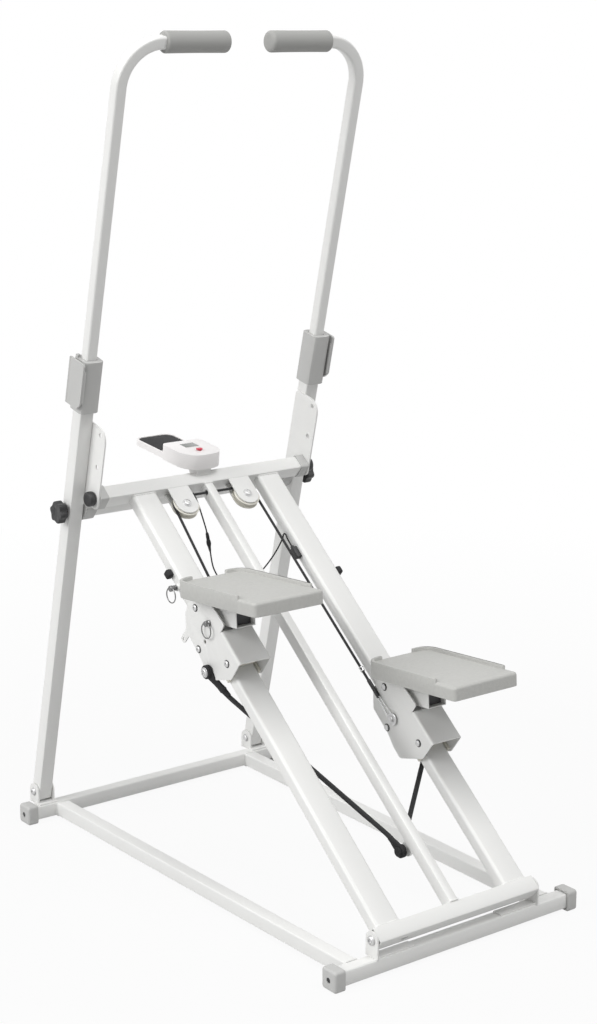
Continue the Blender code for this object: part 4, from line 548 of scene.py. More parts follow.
def plate(bm, matrix, loops, thickness, edge=0.0004):
    """Add a flat plate with holes about the matrix's XY plane, its edges rounded."""
    curve = bpy.data.curves.new("outline", "CURVE")
    curve.dimensions = "2D"
    curve.fill_mode = "BOTH"
    curve.extrude = thickness / 2 - edge
    curve.bevel_depth = edge
    curve.bevel_resolution = 1
    curve.offset = -edge
    for points in loops:
        spline = curve.splines.new("POLY")
        spline.points.add(len(points) - 1)
        for knot, point in zip(spline.points, points):
            knot.co = (point[0], point[1], 0.0, 1.0)
        spline.use_cyclic_u = True
    holder = bpy.data.objects.new("outline", curve)
    bpy.context.scene.collection.objects.link(holder)
    graph = bpy.context.evaluated_depsgraph_get()
    mesh = bpy.data.meshes.new_from_object(holder.evaluated_get(graph))
    bpy.data.objects.remove(holder, do_unlink=True)
    mesh.transform(matrix)
    part = bmesh.new()
    part.from_mesh(mesh)
    bpy.data.meshes.remove(mesh)
    bmesh.ops.remove_doubles(part, verts=part.verts, dist=0.000002)
    join(bm, part)


def block(bm, matrix, size, edge, segments=3):
    """Add a rounded block about the matrix's origin."""
    part = bmesh.new()
    bmesh.ops.create_cube(part, size=1.0)
    bmesh.ops.scale(part, vec=size, verts=part.verts)
    bmesh.ops.bevel(part, geom=part.edges, offset=edge, segments=segments, profile=0.5, affect="EDGES")
    bmesh.ops.transform(part, matrix=matrix, verts=part.verts)
    join(bm, part)


def join(bm, part):
    """Move a part's mesh into another."""
    mesh = bpy.data.meshes.new("part")
    part.to_mesh(mesh)
    part.free()
    bm.from_mesh(mesh)
    bpy.data.meshes.remove(mesh)


def sweep(bm, points, radius, sides=12, wave=None):
    """Run a round wire along points; wave shapes its radius by the turn and the distance along."""
    route = [Vector(point) for point in points]
    last = len(route) - 1
    tangents = [(route[min(k + 1, last)] - route[max(k - 1, 0)]).normalized() for k in range(last + 1)]
    side = tangents[0].orthogonal().normalized()
    rings = []
    run = 0.0
    for index, (point, tangent) in enumerate(zip(route, tangents)):
        side = (side - tangent * side.dot(tangent)).normalized()
        other = tangent.cross(side)
        if index:
            run += (point - route[index - 1]).length
        ring = []
        for step in range(sides):
            turn = math.tau * step / sides
            reach = radius * (wave(turn, run) if wave else 1.0)
            ring.append(point + (side * math.cos(turn) + other * math.sin(turn)) * reach)
        rings.append(ring)
    loft(bm, rings)


def smooth_route(points, per_span):
    """Return points on a smooth curve through a route."""
    knots = [Vector(point) for point in points]
    knots = [2 * knots[0] - knots[1], *knots, 2 * knots[-1] - knots[-2]]
    route = []
    for index in range(1, len(knots) - 2):
        before, start, end, after = knots[index - 1:index + 3]
        for step in range(per_span):
            t = step / per_span
            route.append(
                0.5 * (2 * start + (end - before) * t + (2 * before - 5 * start + 4 * end - after) * t ** 2
                       + (3 * start - before - 3 * end + after) * t ** 3))
    route.append(knots[-2])
    return route


# Heads, washers and welds, each standing on its matrix's XY plane

def hex_head(bm, matrix, width, height):
    """Add a hexagon head or nut with chamfered corners."""
    reach = width / math.sqrt(3)
    rows = ((1.0, 0.0), (1.0, height * 0.78), (0.86, height))
    stack(bm, matrix, [(circle(reach * share, steps=6), z) for share, z in rows])


def dome_head(bm, matrix, radius, height):
    """Add a low domed head with a round socket."""
    socket = radius * 0.42
    lathe(bm, matrix, [
        (0, 0), (radius, 0), (radius, height * 0.35), (radius * 0.86, height * 0.78), (radius * 0.6, height),
        (socket, height), (socket * 0.98, height * 0.45), (0, height * 0.40)], 30)


def cross_head(bm, matrix, radius, height):
    """Add a domed head with a cross slot."""
    slot, reach = radius * 0.17, radius * 0.66
    rows = [
        (1.0, 0.0), (1.0, 0.30), (0.93, 0.66), (0.82, 0.86), (0.70, 0.95), (0.64, 0.97), (0.50, 0.99),
        (0.36, 1.0), (0.24, 1.0), (0.16, 1.0), (0.08, 1.0)]
    rings = []
    for share, level in rows:
        ring = []
        for x, y in circle(radius * share, steps=48):
            sunk = min(abs(x), abs(y)) < slot and max(abs(x), abs(y)) < reach
            ring.append(matrix @ Vector((x, y, height * (level - (0.62 if sunk else 0.0)))))
        rings.append(ring)
    loft(bm, rings)


def washer(bm, matrix, radius):
    """Add a washer."""
    lathe(bm, matrix, [
        (0, 0), (radius, 0), (radius, WASHER * 0.7), (radius - WASHER * 0.3, WASHER), (0, WASHER)], 32)


def fastener(bm, matrix, wide, head, *size):
    """Add a washer and a head on it."""
    washer(bm, matrix, wide)
    head(bm, lift(matrix, WASHER), *size)


def weld_beads(bm, lay, places, width, height, radius):
    """Add weld beads round a rectangular tube where it meets its neighbours."""
    up = lay.col[2].to_3d().normalized()
    for place in places:
        matrix = lift(lay, place)
        points = [matrix @ Vector((p[0], p[1], 0)) for p in rectangle(width, height, radius, 5)]
        route = []
        for start, end in zip(points, points[1:] + points[:1]):
            steps = max(1, round((end - start).length / 0.0016))
            route += [start.lerp(end, step / steps) for step in range(steps)]
        rings = []
        for index, point in enumerate(route):
            tangent = (route[(index + 1) % len(route)] - route[index - 1]).normalized()
            outward = tangent.cross(up)
            swell = bpy.context.scene.climber_sizes.weld / 2 * (1.0 + 0.16 * math.sin(index * 1.9))
            rings.append([point + outward * x + up * y for x, y in circle(swell, steps=8)])
        loft(bm, rings, True)


# Pieces

def piece(name, bm, body, material, nodes=(), sharp=38.0, blend=None):
    """Make a piece of a mesh: it rides on a body, or is baked in place when given a blend; it hides the CAD
    nodes that it stands in for, and takes a finish.
    """
    bmesh.ops.recalc_face_normals(bm, faces=bm.faces)
    mesh = bpy.data.meshes.new(name)
    bm.to_mesh(mesh)
    bm.free()
    mesh.shade_smooth()
    mesh.set_sharp_from_angle(angle=math.radians(sharp))
    mesh.materials.append(finish(material))
    made = bpy.data.objects.new(name, mesh)
    bpy.context.scene.collection.objects.link(made)
    if blend:
        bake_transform(made)
    else:
        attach(made, body)
    if nodes:
        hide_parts(*nodes)
    return made


def carried(name, node, body, material, width):
    """Stand a refined copy of a CAD node in its place, with its edges rounded."""
    bm = bmesh.new()
    bm.from_mesh(frame["nodes"][node].data)
    bmesh.ops.remove_doubles(bm, verts=bm.verts, dist=0.00001)
    bmesh.ops.dissolve_limit(bm, angle_limit=0.02, verts=bm.verts, edges=bm.edges)
    rounding = piece(name, bm, body, material, (node,)).modifiers.new("rounding", "BEVEL")
    rounding.width = width
    rounding.segments = 2
    rounding.limit_method = "ANGLE"
    rounding.angle_limit = math.radians(32)
    rounding.harden_normals = True


# Base

def cap_piece(name, centre, outward, node):
    """Make an end cap: a rounded cup with a lip, a recessed end and a hole."""
    bm = bmesh.new()
    basis = ALONG_X if outward > 0 else Matrix.Rotation(math.pi, 4, "Z") @ ALONG_X
    half = CAP_LENGTH / 2
    inside = CAP_SIZE - 0.0085
    rows = [
        (inside, 0.002, 0.004 - half), (inside, 0.002, -half), (CAP_SIZE - 0.002, 0.004, -half),
        (CAP_SIZE, 0.005, 0.0012 - half)]
    for sine, cosine in arc(6):
        shrink = CAP_EDGE * (1 - cosine)
        rows.append((CAP_SIZE - 2 * shrink, 0.005 - shrink * 0.5, half - CAP_EDGE * (1 - sine)))
    rows += [(0.0096, 0.0047, half), (0.0096, 0.0047, half - 0.008)]
    outlines = [(rectangle(size, size, radius), z) for size, radius, z in rows]
    stack(bm, Matrix.Translation(centre) @ basis, outlines)
    piece(name, bm, "base", "plastic", (node,))


class CLIMBER_OT_base(bpy.types.Operator):
    """Floor frame with its caps, ears, forks, shaft and hinge bolts"""
    bl_idname = "climber.base"
    bl_label = "Base"

    def execute(self, context):
        for name in ("front_beam", "rear_beam"):
            carried(f"{name}_painted", name, "base", "paint", 0.0006)
        height = CAP_SIZE / 2
        rear = REAR_Y + BASE_TUBE / 2
        front = REAR_Y + BASE_LENGTH - BASE_TUBE / 2
        splay = math.atan2(SIDE_TUBE_FRONT_X - SIDE_TUBE_REAR_X, BASE_LENGTH)
        beams = (("front", FRONT_WIDTH, REAR_Y + BASE_LENGTH), ("rear", REAR_WIDTH, REAR_Y))
        for side, sign in SIDES.items():
            centre = Vector((sign * (SIDE_TUBE_FRONT_X + SIDE_TUBE_REAR_X) / 2, (rear + front) / 2, height))
            lay = Matrix.Translation(centre) @ Matrix.Rotation(-sign * splay, 4, "Z") @ ALONG_Y
            half = (front - rear) / 2 / math.cos(splay) + 0.0002
            weld = half - 0.0006
            bm = bmesh.new()
            square_tube(bm, lay, BASE_TUBE, BASE_TUBE, 0.003, -half, half)
            weld_beads(bm, lay, (-weld, weld), BASE_TUBE, BASE_TUBE, 0.003)
            piece(f"{side}_side_tube", bm, "base", "paint", (f"side_tube_{side}",))
            for row, width, y in beams:
                cap_piece(
                    f"{row}_{side}_cap", (sign * (width - CAP_LENGTH) / 2, y, height), sign,
                    f"end_cap_{row}_{side}")
            bm = bmesh.new()
            for way, head in ((1, (dome_head, 0.0070, 0.0031)), (-1, (hex_head, 0.0115, 0.0030))):
                place = (sign * (POST_X + way * HINGE_FACE), *HINGE.yz)
                fastener(bm, spot(WORLD, place, ALONG_X, sign * way < 0), 0.0076, *head)
            middle = spot(WORLD, (sign * POST_X, *HINGE.yz), ALONG_X)
            rod(bm, middle, 0.0039, -HINGE_BOLT_HALF, HINGE_BOLT_HALF, 24)
            piece(f"{side}_hinge_bolt", bm, "base", "steel", (f"post_hinge_bolt_{side}",))
        # Black discs just inside the caps' end holes: painted shade that darkens the holes.
        bm = bmesh.new()
        for sign in SIDES.values():
            for _, width, y in beams:
                screw = facing(WORLD, sign, width / 2 - 0.0012, y, height)
                lathe(bm, screw, [(0, -0.004), (0.0045, -0.004), (0.0045, -0.0004), (0.0036, 0.0), (0, 0.0)], 20)
        piece("cap_screws", bm, "base", "knob")
        bm = bmesh.new()
        for sign in SIDES.values():
            fastener(bm, facing(WORLD, sign, SHAFT_HALF, *PIVOT.yz), 0.0084, dome_head, 0.0078, 0.0036)
        rod(bm, spot(WORLD, PIVOT, ALONG_X), 0.0049, -SHAFT_HALF, SHAFT_HALF, 24)
        piece("rear_shaft", bm, "base", "steel", ("rear_pivot_shaft",))
        return {"FINISHED"}


# Posts

def slope_knob(side, sign):
    """Make the round pull knob with its pin."""
    bm = bmesh.new()
    base = facing(POST, sign, POST_X - POST_TUBE / 2 + 0.0006, -SLOPE_HOLE[1], SLOPE_HOLE[0])
    lathe(bm, base, [
        (0, -0.0033), (0.0038, -0.0033), (0.0038, 0), (0.0112, 0), (0.0128, 0.0012), (0.0134, 0.0032),
        (0.0134, 0.0098), (0.0126, 0.0122), (0.0104, 0.0134), (0.0070, 0.0131), (0, 0.0126)], 48)
    for step in range(24):
        turn = base @ Matrix.Rotation(math.tau * step / 24, 4, "Z")
        block(bm, spot(turn, (0.0131, 0, 0.0065)), (0.0007, 0.0013, 0.0066), 0.0003, 1)
    piece(f"{side}_slope_knob", bm, f"slope_knob_{side}", "knob", (f"slope_knob_{side}",))


def star_knob(side, sign):
    """Make the lobed knob with its screw."""
    bm = bmesh.new()
    base = facing(POST, sign, POST_X + POST_TUBE / 2 + 0.0004, 0, STAR_HOLE)
    lathe(bm, base, [
        (0, -0.0272), (0.0038, -0.0272), (0.0038, 0), (0.0078, 0), (0.0084, 0.0010), (0.0088, 0.0068),
        (0, 0.0068)], 32)
    rows = [
        (0.62, 0.0058), (0.90, 0.0060), (0.985, 0.0070), (1.0, 0.0090), (1.0, 0.0172), (0.97, 0.0196),
        (0.88, 0.0208), (0.45, 0.0206), (0.35, 0.0196)]
    rings = []
    for share, height in rows:
        ring = []
        for step in range(120):
            turn = math.tau * step / 120
            reach = (0.0185 + 0.0018 * math.cos(6 * turn)) * share
            if share > 0.5:
                reach += 0.0112 * (1 - share)
            ring.append(base @ Vector((reach * math.cos(turn), reach * math.sin(turn), height)))
        rings.append(ring)
    loft(bm, rings)
    piece(f"{side}_star_knob", bm, f"star_knob_{side}", "knob", (f"star_knob_{side}",))


class CLIMBER_OT_posts(bpy.types.Operator):
    """Posts with their slope plates and knobs"""
    bl_idname = "climber.posts"
    bl_label = "Posts"

    def execute(self, context):
        for side, sign in SIDES.items():
            carried(f"{side}_post", f"post_{side}", f"post_{side}", "paint", 0.0005)
            slope_knob(side, sign)
            star_knob(side, sign)
        return {"FINISHED"}


# Handles

def tube(side, sign):
    """Sweep the bent square tube, hollow."""
    stations = [(POST_X, HANDLE_BOTTOM, 0.0)]
    for step, (sine, cosine) in enumerate(arc(24)):
        stations.append((
            POST_X - HANDLE_BEND * (1 - cosine), HANDLE_TOP - HANDLE_BEND * (1 - sine),
            math.pi / 2 * step / 24))
    stations.append((HANDLE_END_X, HANDLE_TOP, math.pi / 2))
    rings = []
    for width, radius, order in (
            (HANDLE_TUBE, 0.0042, stations), (HANDLE_TUBE - 2 * TUBE_WALL, 0.0027, stations[::-1])):
        for x, z, turn in order:
            lay = spot(POST, (sign * x, 0, z), Matrix.Rotation(-sign * turn, 4, "Y"))
            rings.append([lay @ Vector((p[0], p[1], 0)) for p in rectangle(width, width, radius)])
    bm = bmesh.new()
    loft(bm, rings, True)
    piece(f"{side}_handle_tube", bm, f"handle_{side}", "paint", (f"handle_{side}",))


def grip(side, sign):
    """Turn the foam grip, with soft ends and a faint waist."""
    start, end = GRIP_SPAN
    span = end - start
    profile = [(0, 0.0), (0.0105, 0.0)]
    profile += [(0.0105 + 0.0080 * sine, 0.0060 * (1 - cosine)) for sine, cosine in arc(8)]
    for step in range(1, 16):
        waist = 0.00035 * math.sin(math.pi * step / 16)
        profile.append((GRIP_RADIUS - waist, 0.006 + (span - 0.010) * step / 16))
    profile += [(0.0148 + 0.0037 * cosine, span - 0.004 * (1 - sine)) for sine, cosine in arc(6)]
    profile += [(0.0112, span), (0.0112, 0.010), (0, 0.010)]
    bm = bmesh.new()
    lathe(bm, facing(POST, sign, start, 0, HANDLE_TOP), profile, 64)
    piece(f"{side}_grip", bm, f"handle_{side}", "foam", (f"grip_{side}",), sharp=50.0)


class CLIMBER_OT_handles(bpy.types.Operator):
    """Telescoping handles, their foam grips and their clamps"""
    bl_idname = "climber.handles"
    bl_label = "Handles"

    def execute(self, context):
        for side, sign in SIDES.items():
            tube(side, sign)
            grip(side, sign)
            carried(f"{side}_clamp", f"clamp_body_{side}", f"post_{side}", "plastic", 0.0014)
            carried(f"{side}_lever", f"clamp_lever_{side}", f"lever_{side}", "plastic", 0.0010)
        return {"FINISHED"}


# Rail frame

def plunger(side, sign):
    """Make the spring plunger with its ring."""
    bm = bmesh.new()
    base = facing(RAIL, sign, RAIL_X + RAIL_WIDTH / 2 + 0.008, *PLUNGER)
    lathe(bm, base, [
        (0, -0.0108), (0.0030, -0.0108), (0.0034, -0.0100), (0.0034, 0.0078), (0.0050, 0.0080),
        (0.0054, 0.0088), (0.0054, 0.0132), (0.0048, 0.0138), (0, 0.0138)], 28)
    turns = [(math.tau * step / 14, 0.0009 + step * 0.0000995) for step in range(62)]
    coils = [base @ Vector((0.0043 * math.cos(turn), 0.0043 * math.sin(turn), z)) for turn, z in turns]
    sweep(bm, coils, 0.0006, 8)
    hang_ring(bm, base, 0.0110, 0.0016)
    piece(f"{side}_plunger", bm, f"plunger_{side}", "ring", (f"rail_plunger_{side}",))


class CLIMBER_OT_rails(bpy.types.Operator):
    """Rails, strut, beams, sleeves, stops and the plunger"""
    bl_idname = "climber.rails"
    bl_label = "Rail frame"

    def execute(self, context):
        start = PIVOT_TUBE / 2 + GAP
        end = BEAM_REACH - BEAM_TUBE / 2 - GAP
        for side, sign in SIDES.items():
            lay = spot(RAIL, (sign * RAIL_X, 0, RAIL_TOP - RAIL_DEPTH / 2), ALONG_Y)
            bm = bmesh.new()
            square_tube(bm, lay, RAIL_DEPTH, RAIL_WIDTH, RAIL_ROUNDING, start, end)
            weld_beads(bm, lay, (start + 0.0004, end - 0.0004), RAIL_DEPTH, RAIL_WIDTH, RAIL_ROUNDING)
            if side == "left":
                lathe(bm, facing(RAIL, sign, RAIL_X + RAIL_WIDTH / 2 - 0.0004, *PLUNGER), [
                    (0.0042, 0), (0.0065, 0), (0.0065, 0.0074), (0.0060, 0.0083), (0.0042, 0.0083)], 32)
                plunger(side, sign)
            piece(f"{side}_rail_tube", bm, "rail_frame", "paint", (f"rail_{side}",))
            bm = bmesh.new()
            x = sign * (RAIL_X + RAIL_WIDTH / 2 + 0.0058)
            block(bm, spot(RAIL, (x, *STOPS[side])), (0.011, 0.0138, 0.0138), 0.0026)
            piece(f"{side}_stop", bm, "rail_frame", "rubber", (f"bumper_{side}",))
            for name in ("beam_sleeve", "crossbar_sleeve"):
                carried(f"{side}_{name}", f"{name}_{side}", "rail_frame", "plastic", 0.0010)
        carried("strut_painted", "centre_strut", "rail_frame", "paint", 0.0005)
        bm = bmesh.new()
        lay = spot(RAIL, (0, 0, STRUT_TOP - STRUT_DEPTH / 2), ALONG_Y)
        weld_beads(bm, lay, (start + 0.0002, end - 0.0002), STRUT_DEPTH, STRUT_WIDTH, 0.0025)
        piece("strut_welds", bm, "rail_frame", "paint")
        carried("pivot_tube_painted", "pivot_tube", "rail_frame", "paint", 0.0005)
        # A black block inside the pivot tube, just behind its rear wall at the drain slot: painted shade that
        # makes the slot read dark.
        bm = bmesh.new()
        slot = (DRAIN_SLOT_FROM_END - PIVOT_TUBE_HALF, 0.0034 - PIVOT_TUBE / 2, 0)
        block(bm, spot(RAIL, slot), (0.026, 0.0024, 0.018), 0.0005, 2)
        piece("drain_slot_bung", bm, "rail_frame", "knob")
        for name, node in (("top_beam_painted", "top_beam"), ("crossbar_painted", "lower_crossbar")):
            carried(name, node, "rail_frame", "paint", 0.0005)
        return {"FINISHED"}


# Pulleys and rope

class CLIMBER_OT_pulleys(bpy.types.Operator):
    """Grooved pulleys"""
    bl_idname = "climber.pulleys"
    bl_label = "Pulleys"

    def execute(self, context):
        for side, sign in SIDES.items():
            bm = bmesh.new()
            x, y, z = sign * PULLEY[0], PULLEY[1], PULLEY[2]
            profile = [
                (0.0046, 0.0060), (0.0085, 0.0060), (0.0090, 0.0052), (0.0180, 0.0052), (0.0190, 0.0060),
                (0.0246, 0.0060), (0.0254, 0.0054), (0.0252, 0.0046)]
            for step in range(9):
                turn = math.pi * step / 8
                profile.append((0.0222 - 0.0028 * math.sin(turn), 0.0032 * math.cos(turn)))
            profile += [(0.0252, -0.0046), (0.0254, -0.0054), (0.0246, -0.0060), (0.0046, -0.0060)]
            lathe(bm, spot(RAIL, (x, y, z)), profile, 64)
            piece(f"{side}_pulley", bm, f"pulley_{side}", "cream", (f"pulley_{side}",))
            bm = bmesh.new()
            for height, turn in ((PULLEY_FORK_HALF, 0.0), (-PULLEY_FORK_HALF, math.pi)):
                face = spot(RAIL, (x, y, z + height), Matrix.Rotation(turn, 4, "X"))
                fastener(bm, face, 0.0086, cross_head, 0.0068, 0.0034)
            piece(f"{side}_pulley_bolt", bm, "rail_frame", "steel")
        return {"FINISHED"}


def braid(turn, run):
    """Return a rope's radius share: strands crossing both ways."""
    return 0.95 + 0.05 * math.sin(4 * turn + run * 900.0) * math.sin(4 * turn - run * 900.0)


def straight(start, end):
    """Return evenly spaced points from start to end, close enough to show the braid."""
    steps = max(2, round((end - start).length / 0.0016))
    return [start.lerp(end, step / steps) for step in range(steps + 1)]


class CLIMBER_OT_rope(bpy.types.Operator):
    """Drive rope from carriage to carriage round the pulleys"""
    bl_idname = "climber.rope"
    bl_label = "Drive rope"

    def execute(self, context):
        radius = context.scene.climber_sizes.rope / 2
        wraps = {}
        for side, sign in SIDES.items():
            centre = Vector((sign * PULLEY[0], PULLEY[1], PULLEY[2]))
            wraps[side] = [
                RAIL @ (centre + PULLEY_PITCH * Vector((sign * cosine, sine, 0))) for sine, cosine in arc(24)]
            anchor = RAIL @ Vector((sign * (RAIL_X - ANCHOR[0]), CARRIAGE_REACH[side], ANCHOR[1]))
            low = anchor + RAIL_UP * ROPE_START
            bm = bmesh.new()
            sweep(bm, straight(low, wraps[side][0]), radius, 16, braid)
            piece(
                f"{side}_rope_run", bm, None, "rope", ("drive_rope",), sharp=60.0,
                blend=("rail_frame", f"carriage_{side}", wraps[side][0], low))
        cross = wraps["left"] + straight(wraps["left"][-1], wraps["right"][-1])[1:-1] + wraps["right"][::-1]
        bm = bmesh.new()
        sweep(bm, cross, radius, 16, braid)
        piece("rope_over_pulleys", bm, "rail_frame", "rope", ("drive_rope",), sharp=60.0)
        return {"FINISHED"}


# Bands. A fitting's neck is rows of the distance from the eye, the half width and the half thickness.

CLIP_NECK = (
    (0.0070, 0.0104, 0.0046), (0.0150, 0.0090, 0.0046), (0.0250, 0.0077, 0.0047), (0.0330, 0.0072, 0.0049),
    (0.0390, 0.0080, 0.0054), (0.0425, 0.0082, 0.0056), (0.0440, 0.0064, 0.0050), (0.0560, 0.0052, 0.0046))
EYE_NECK = (
    (0.0060, 0.0102, 0.0046), (0.0140, 0.0088, 0.0046), (0.0200, 0.0070, 0.0047), (0.0215, 0.0058, 0.0047),
    (0.0300, 0.0050, 0.0046))
CLIP_RADIUS = 0.0122
EYE_RADIUS = 0.0114


def fitting(side, label, place, aim, neck, size, body):
    """Make a band's end fitting: an eye and its neck, with a cover over the lower one's pin."""
    bm = bmesh.new()
    half, edge = BAND_EYE_HALF, 0.0012
    lathe(bm, spot(RAIL, place, ALONG_X), [
        (0.0043, half), (size - edge, half), (size, half - edge), (size, edge - half),
        (size - edge, -half), (0.0043, -half)], 44)
    flat = (ACROSS - aim * ACROSS.dot(aim)).normalized()
    broad = aim.cross(flat)
    loft(bm, [
        [RAIL @ (place + aim * along + flat * (thick * x) + broad * (wide * y)) for x, y in circle(1.0)]
        for along, wide, thick in neck])
    if label == "eye":
        lathe(bm, spot(RAIL, place, ALONG_X, SIDES[side] < 0), [
            (0, 0.0088), (0.0070, 0.0088), (0.0082, 0.0078), (0.0084, 0.0044), (0, 0.0044)], 32)
    piece(f"{side}_band_{label}", bm, body, "rubber", (f"resistance_band_{side}",))


class CLIMBER_OT_bands(bpy.types.Operator):
    """Elastic bands under the rails"""
    bl_idname = "climber.bands"
    bl_label = "Bands"

    def execute(self, context):
        radius = context.scene.climber_sizes.band / 2
        for side, sign in SIDES.items():
            eye_x = sign * (RAIL_X + CARRIAGE_HALF + GAP + 0.00475)
            upper = Vector((eye_x, CARRIAGE_REACH[side] + BAND_BOLT[0], BAND_BOLT[1]))
            lower = Vector((sign * BAND_PIN[0], BAND_PIN[1], BAND_PIN[2]))
            approach = lower + Vector((sign * 0.0055, 0.033, -0.001))
            heading = (approach - upper).normalized()
            heading = (heading + Vector((0, 0, BAND_SAG))).normalized()
            knots = [upper + heading * along for along in BAND_FROM_CLIP]
            knots += [knots[2].lerp(approach, step / 6) for step in range(1, 7)]
            knots.append(lower + Vector((sign * 0.002, 0.0088, -0.0002)))
            bm = bmesh.new()
            sweep(
                bm, [RAIL @ point for point in smooth_route(knots, 14)], radius, 18,
                lambda turn, run: 0.97 + 0.03 * math.sin(run * 1500.0))
            piece(
                f"{side}_band", bm, None, "rope", (f"resistance_band_{side}",), 60.0,
                ("rail_frame", f"carriage_{side}", RAIL @ lower + RAIL_UP * BAND_STILL,
                 RAIL @ upper - RAIL_UP * BAND_FROM_CLIP[-1]))
            fitting(side, "clip", upper, heading, CLIP_NECK, CLIP_RADIUS, f"carriage_{side}")
            aim = (approach - lower).normalized()
            fitting(side, "eye", lower, aim, EYE_NECK, EYE_RADIUS, "rail_frame")
        return {"FINISHED"}


# Carriages

def carriage_outline(top, lug):
    """Return a side plate's outline along and off the rail, with or without the lug at its foot."""
    foot = [(0.045, -0.036, 0.006)]
    if lug:
        foot = [
            (0.0335, -0.0365, 0.003), (0.0335, -0.0612, 0.0066), (0.0472, -0.0612, 0.0066),
            (0.0472, -0.034, 0.003)]
    return rounded([
        (-0.091, top, 0.002), (-0.093, 0.007, 0.005), (-0.057, -0.044, 0.010), (-0.033, -0.043, 0.006),
        (-0.008, -0.037, 0.006), *foot, (0.067, -0.012, 0.006), (0.077, 0.0285, 0.008),
        (0.045, 0.058, 0.010), (0.012, 0.064, 0.005), (-0.019, 0.0655, 0.004), (-0.0215, top, 0.0)], 5)


def sheet(side, sign, base, body):
    """Make the folded channel: two side plates and a hood with bent corners."""
    bm = bmesh.new()
    top = CARRIAGE_TOP - CARRIAGE_BEND
    for way in (-1, 1):
        loops = [carriage_outline(top, way == sign)]
        if way == sign:
            loops += [
                circle(0.0040, LOCK_HOLE), circle(0.0034, (-0.003, -0.004)),
                circle(0.0027, (0.0404, -0.0540))]
        plate(bm, spot(base, (way * (CARRIAGE_HALF - SHEET / 2), 0, 0), ALONG_X), loops, SHEET)
    ring = []
    for inset, order in ((0.0, 1), (SHEET, -1)):
        bend = CARRIAGE_BEND - inset
        half = [
            (CARRIAGE_HALF - inset - bend * (1 - cosine), top + bend * sine) for sine, cosine in arc(6)]
        ring += (half + [(-x, z) for x, z in half[::-1]])[::order]
    loft(bm, [[base @ Vector((x, y, z)) for x, z in ring] for y in HOOD_SPAN])
    piece(f"{side}_carriage_sheet", bm, body, "paint", (f"carriage_{side}",))


def hardware(side, sign, base, body, bolt):
    """Add the bolts and nuts on both plates, and the axles."""
    bm = bmesh.new()
    # The washers under the bolt heads are black: painted shade, a dark ring round each head.
    under = bmesh.new()
    for place, radius in ((ARM_PIVOT, 0.0029), (UPPER_ROLLER, 0.0039), (LOWER_ROLLER, 0.0039)):
        for way in (-1, 1):
            face = facing(base, way, CARRIAGE_HALF + 0.0001, *place)
            washer(under, face, bolt * 0.62)
            raised = lift(face, WASHER)
            if way == sign:
                dome_head(bm, raised, bolt / 2, 0.0022)
            else:
                hex_head(bm, raised, bolt * 0.9, 0.0022)
        rod(bm, spot(base, (0, *place), ALONG_X), radius, -AXLE_HALF, AXLE_HALF)
    clip = facing(base, sign, CARRIAGE_HALF, *BAND_BOLT)
    rod(bm, clip, 0.0039, 0, 0.0118)
    fastener(bm, lift(clip, 0.0102), 0.0090, cross_head, 0.0074, 0.0028)
    piece(f"{side}_carriage_bolts", bm, body, "steel")
    piece(f"{side}_bolt_washers", under, body, "knob")


def rope_end(side, sign, base, body):
    """Make the rope's end: a clip, a black sleeve, two rods and the disc on the inner plate's bolt."""
    place = (-sign * ANCHOR[0], 0, ANCHOR[1])
    line = spot(base, place, ALONG_Y)
    bm = bmesh.new()
    lathe(bm, line, [
        (0, 0.047), (0.0028, 0.0472), (0.0036, 0.0484), (0.0036, 0.084), (0.0030, 0.0856), (0, 0.0858)], 24)
    piece(f"{side}_rope_sleeve", bm, body, "knob")
    bm = bmesh.new()
    for way in (-1, 1):
        wire = ((0.0062, 0.0080), (0.0050, 0.0150), (0.0042, 0.0240), (0.0036, 0.0380), (0.0022, 0.0490))
        sweep(bm, [line @ Vector((way * off, 0, along)) for off, along in wire], 0.0011, 10)
    lathe(bm, line, [
        (0, 0.104), (0.0040, 0.104), (0.0046, 0.1048), (0.0046, 0.1062), (0.0037, 0.1068),
        (0.0037, 0.1108), (0.0046, 0.1114), (0.0046, 0.1128), (0.0040, 0.1136), (0, 0.1136)], 24)
    face = spot(base, place, ALONG_X, sign > 0)
    lathe(bm, face, [(0, -0.0040), (0.0035, -0.0040), (0.0035, 0.0054), (0.0030, 0.0060), (0, 0.0060)], 20)
    lathe(bm, face, [
        (0.0046, -0.0014), (0.0106, -0.0014), (0.0116, -0.0006), (0.0116, 0.0006), (0.0106, 0.0014),
        (0.0084, 0.0014), (0.0080, 0.0007), (0.0062, 0.0007), (0.0058, 0.0014), (0.0046, 0.0014)], 40)
    hex_head(bm, lift(face, 0.0014), 0.0095, 0.0030)
    piece(f"{side}_rope_fitting", bm, body, "steel")


def guides(side, base, body):
    """Add the nylon guide blocks in the channel's mouths."""
    bm = bmesh.new()
    for x in (-0.0281, 0.0281):
        block(bm, spot(base, (x, -0.079, 0.001)), (0.0055, 0.020, 0.020), 0.0012)
        block(bm, spot(base, (x, 0.056, -0.004)), (0.0055, 0.016, 0.018), 0.0012)
    piece(f"{side}_guides", bm, body, "nylon")


def rollers(side, base):
    """Turn the nylon rollers."""
    for label, place, radius in (("upper", UPPER_ROLLER, 0.0085), ("lower", LOWER_ROLLER, 0.0155)):
        bm = bmesh.new()
        half = [(0.0045, 0.020), (radius - 0.0018, 0.020), (radius - 0.0005, 0.0194), (radius, 0.0180)]
        lathe(bm, spot(base, (0, *place), ALONG_X), half + [(r, -z) for r, z in half[::-1]], 48)
        name = f"roller_{label}_{side}"
        piece(f"{side}_{label}_roller", bm, name, "nylon", (name,))


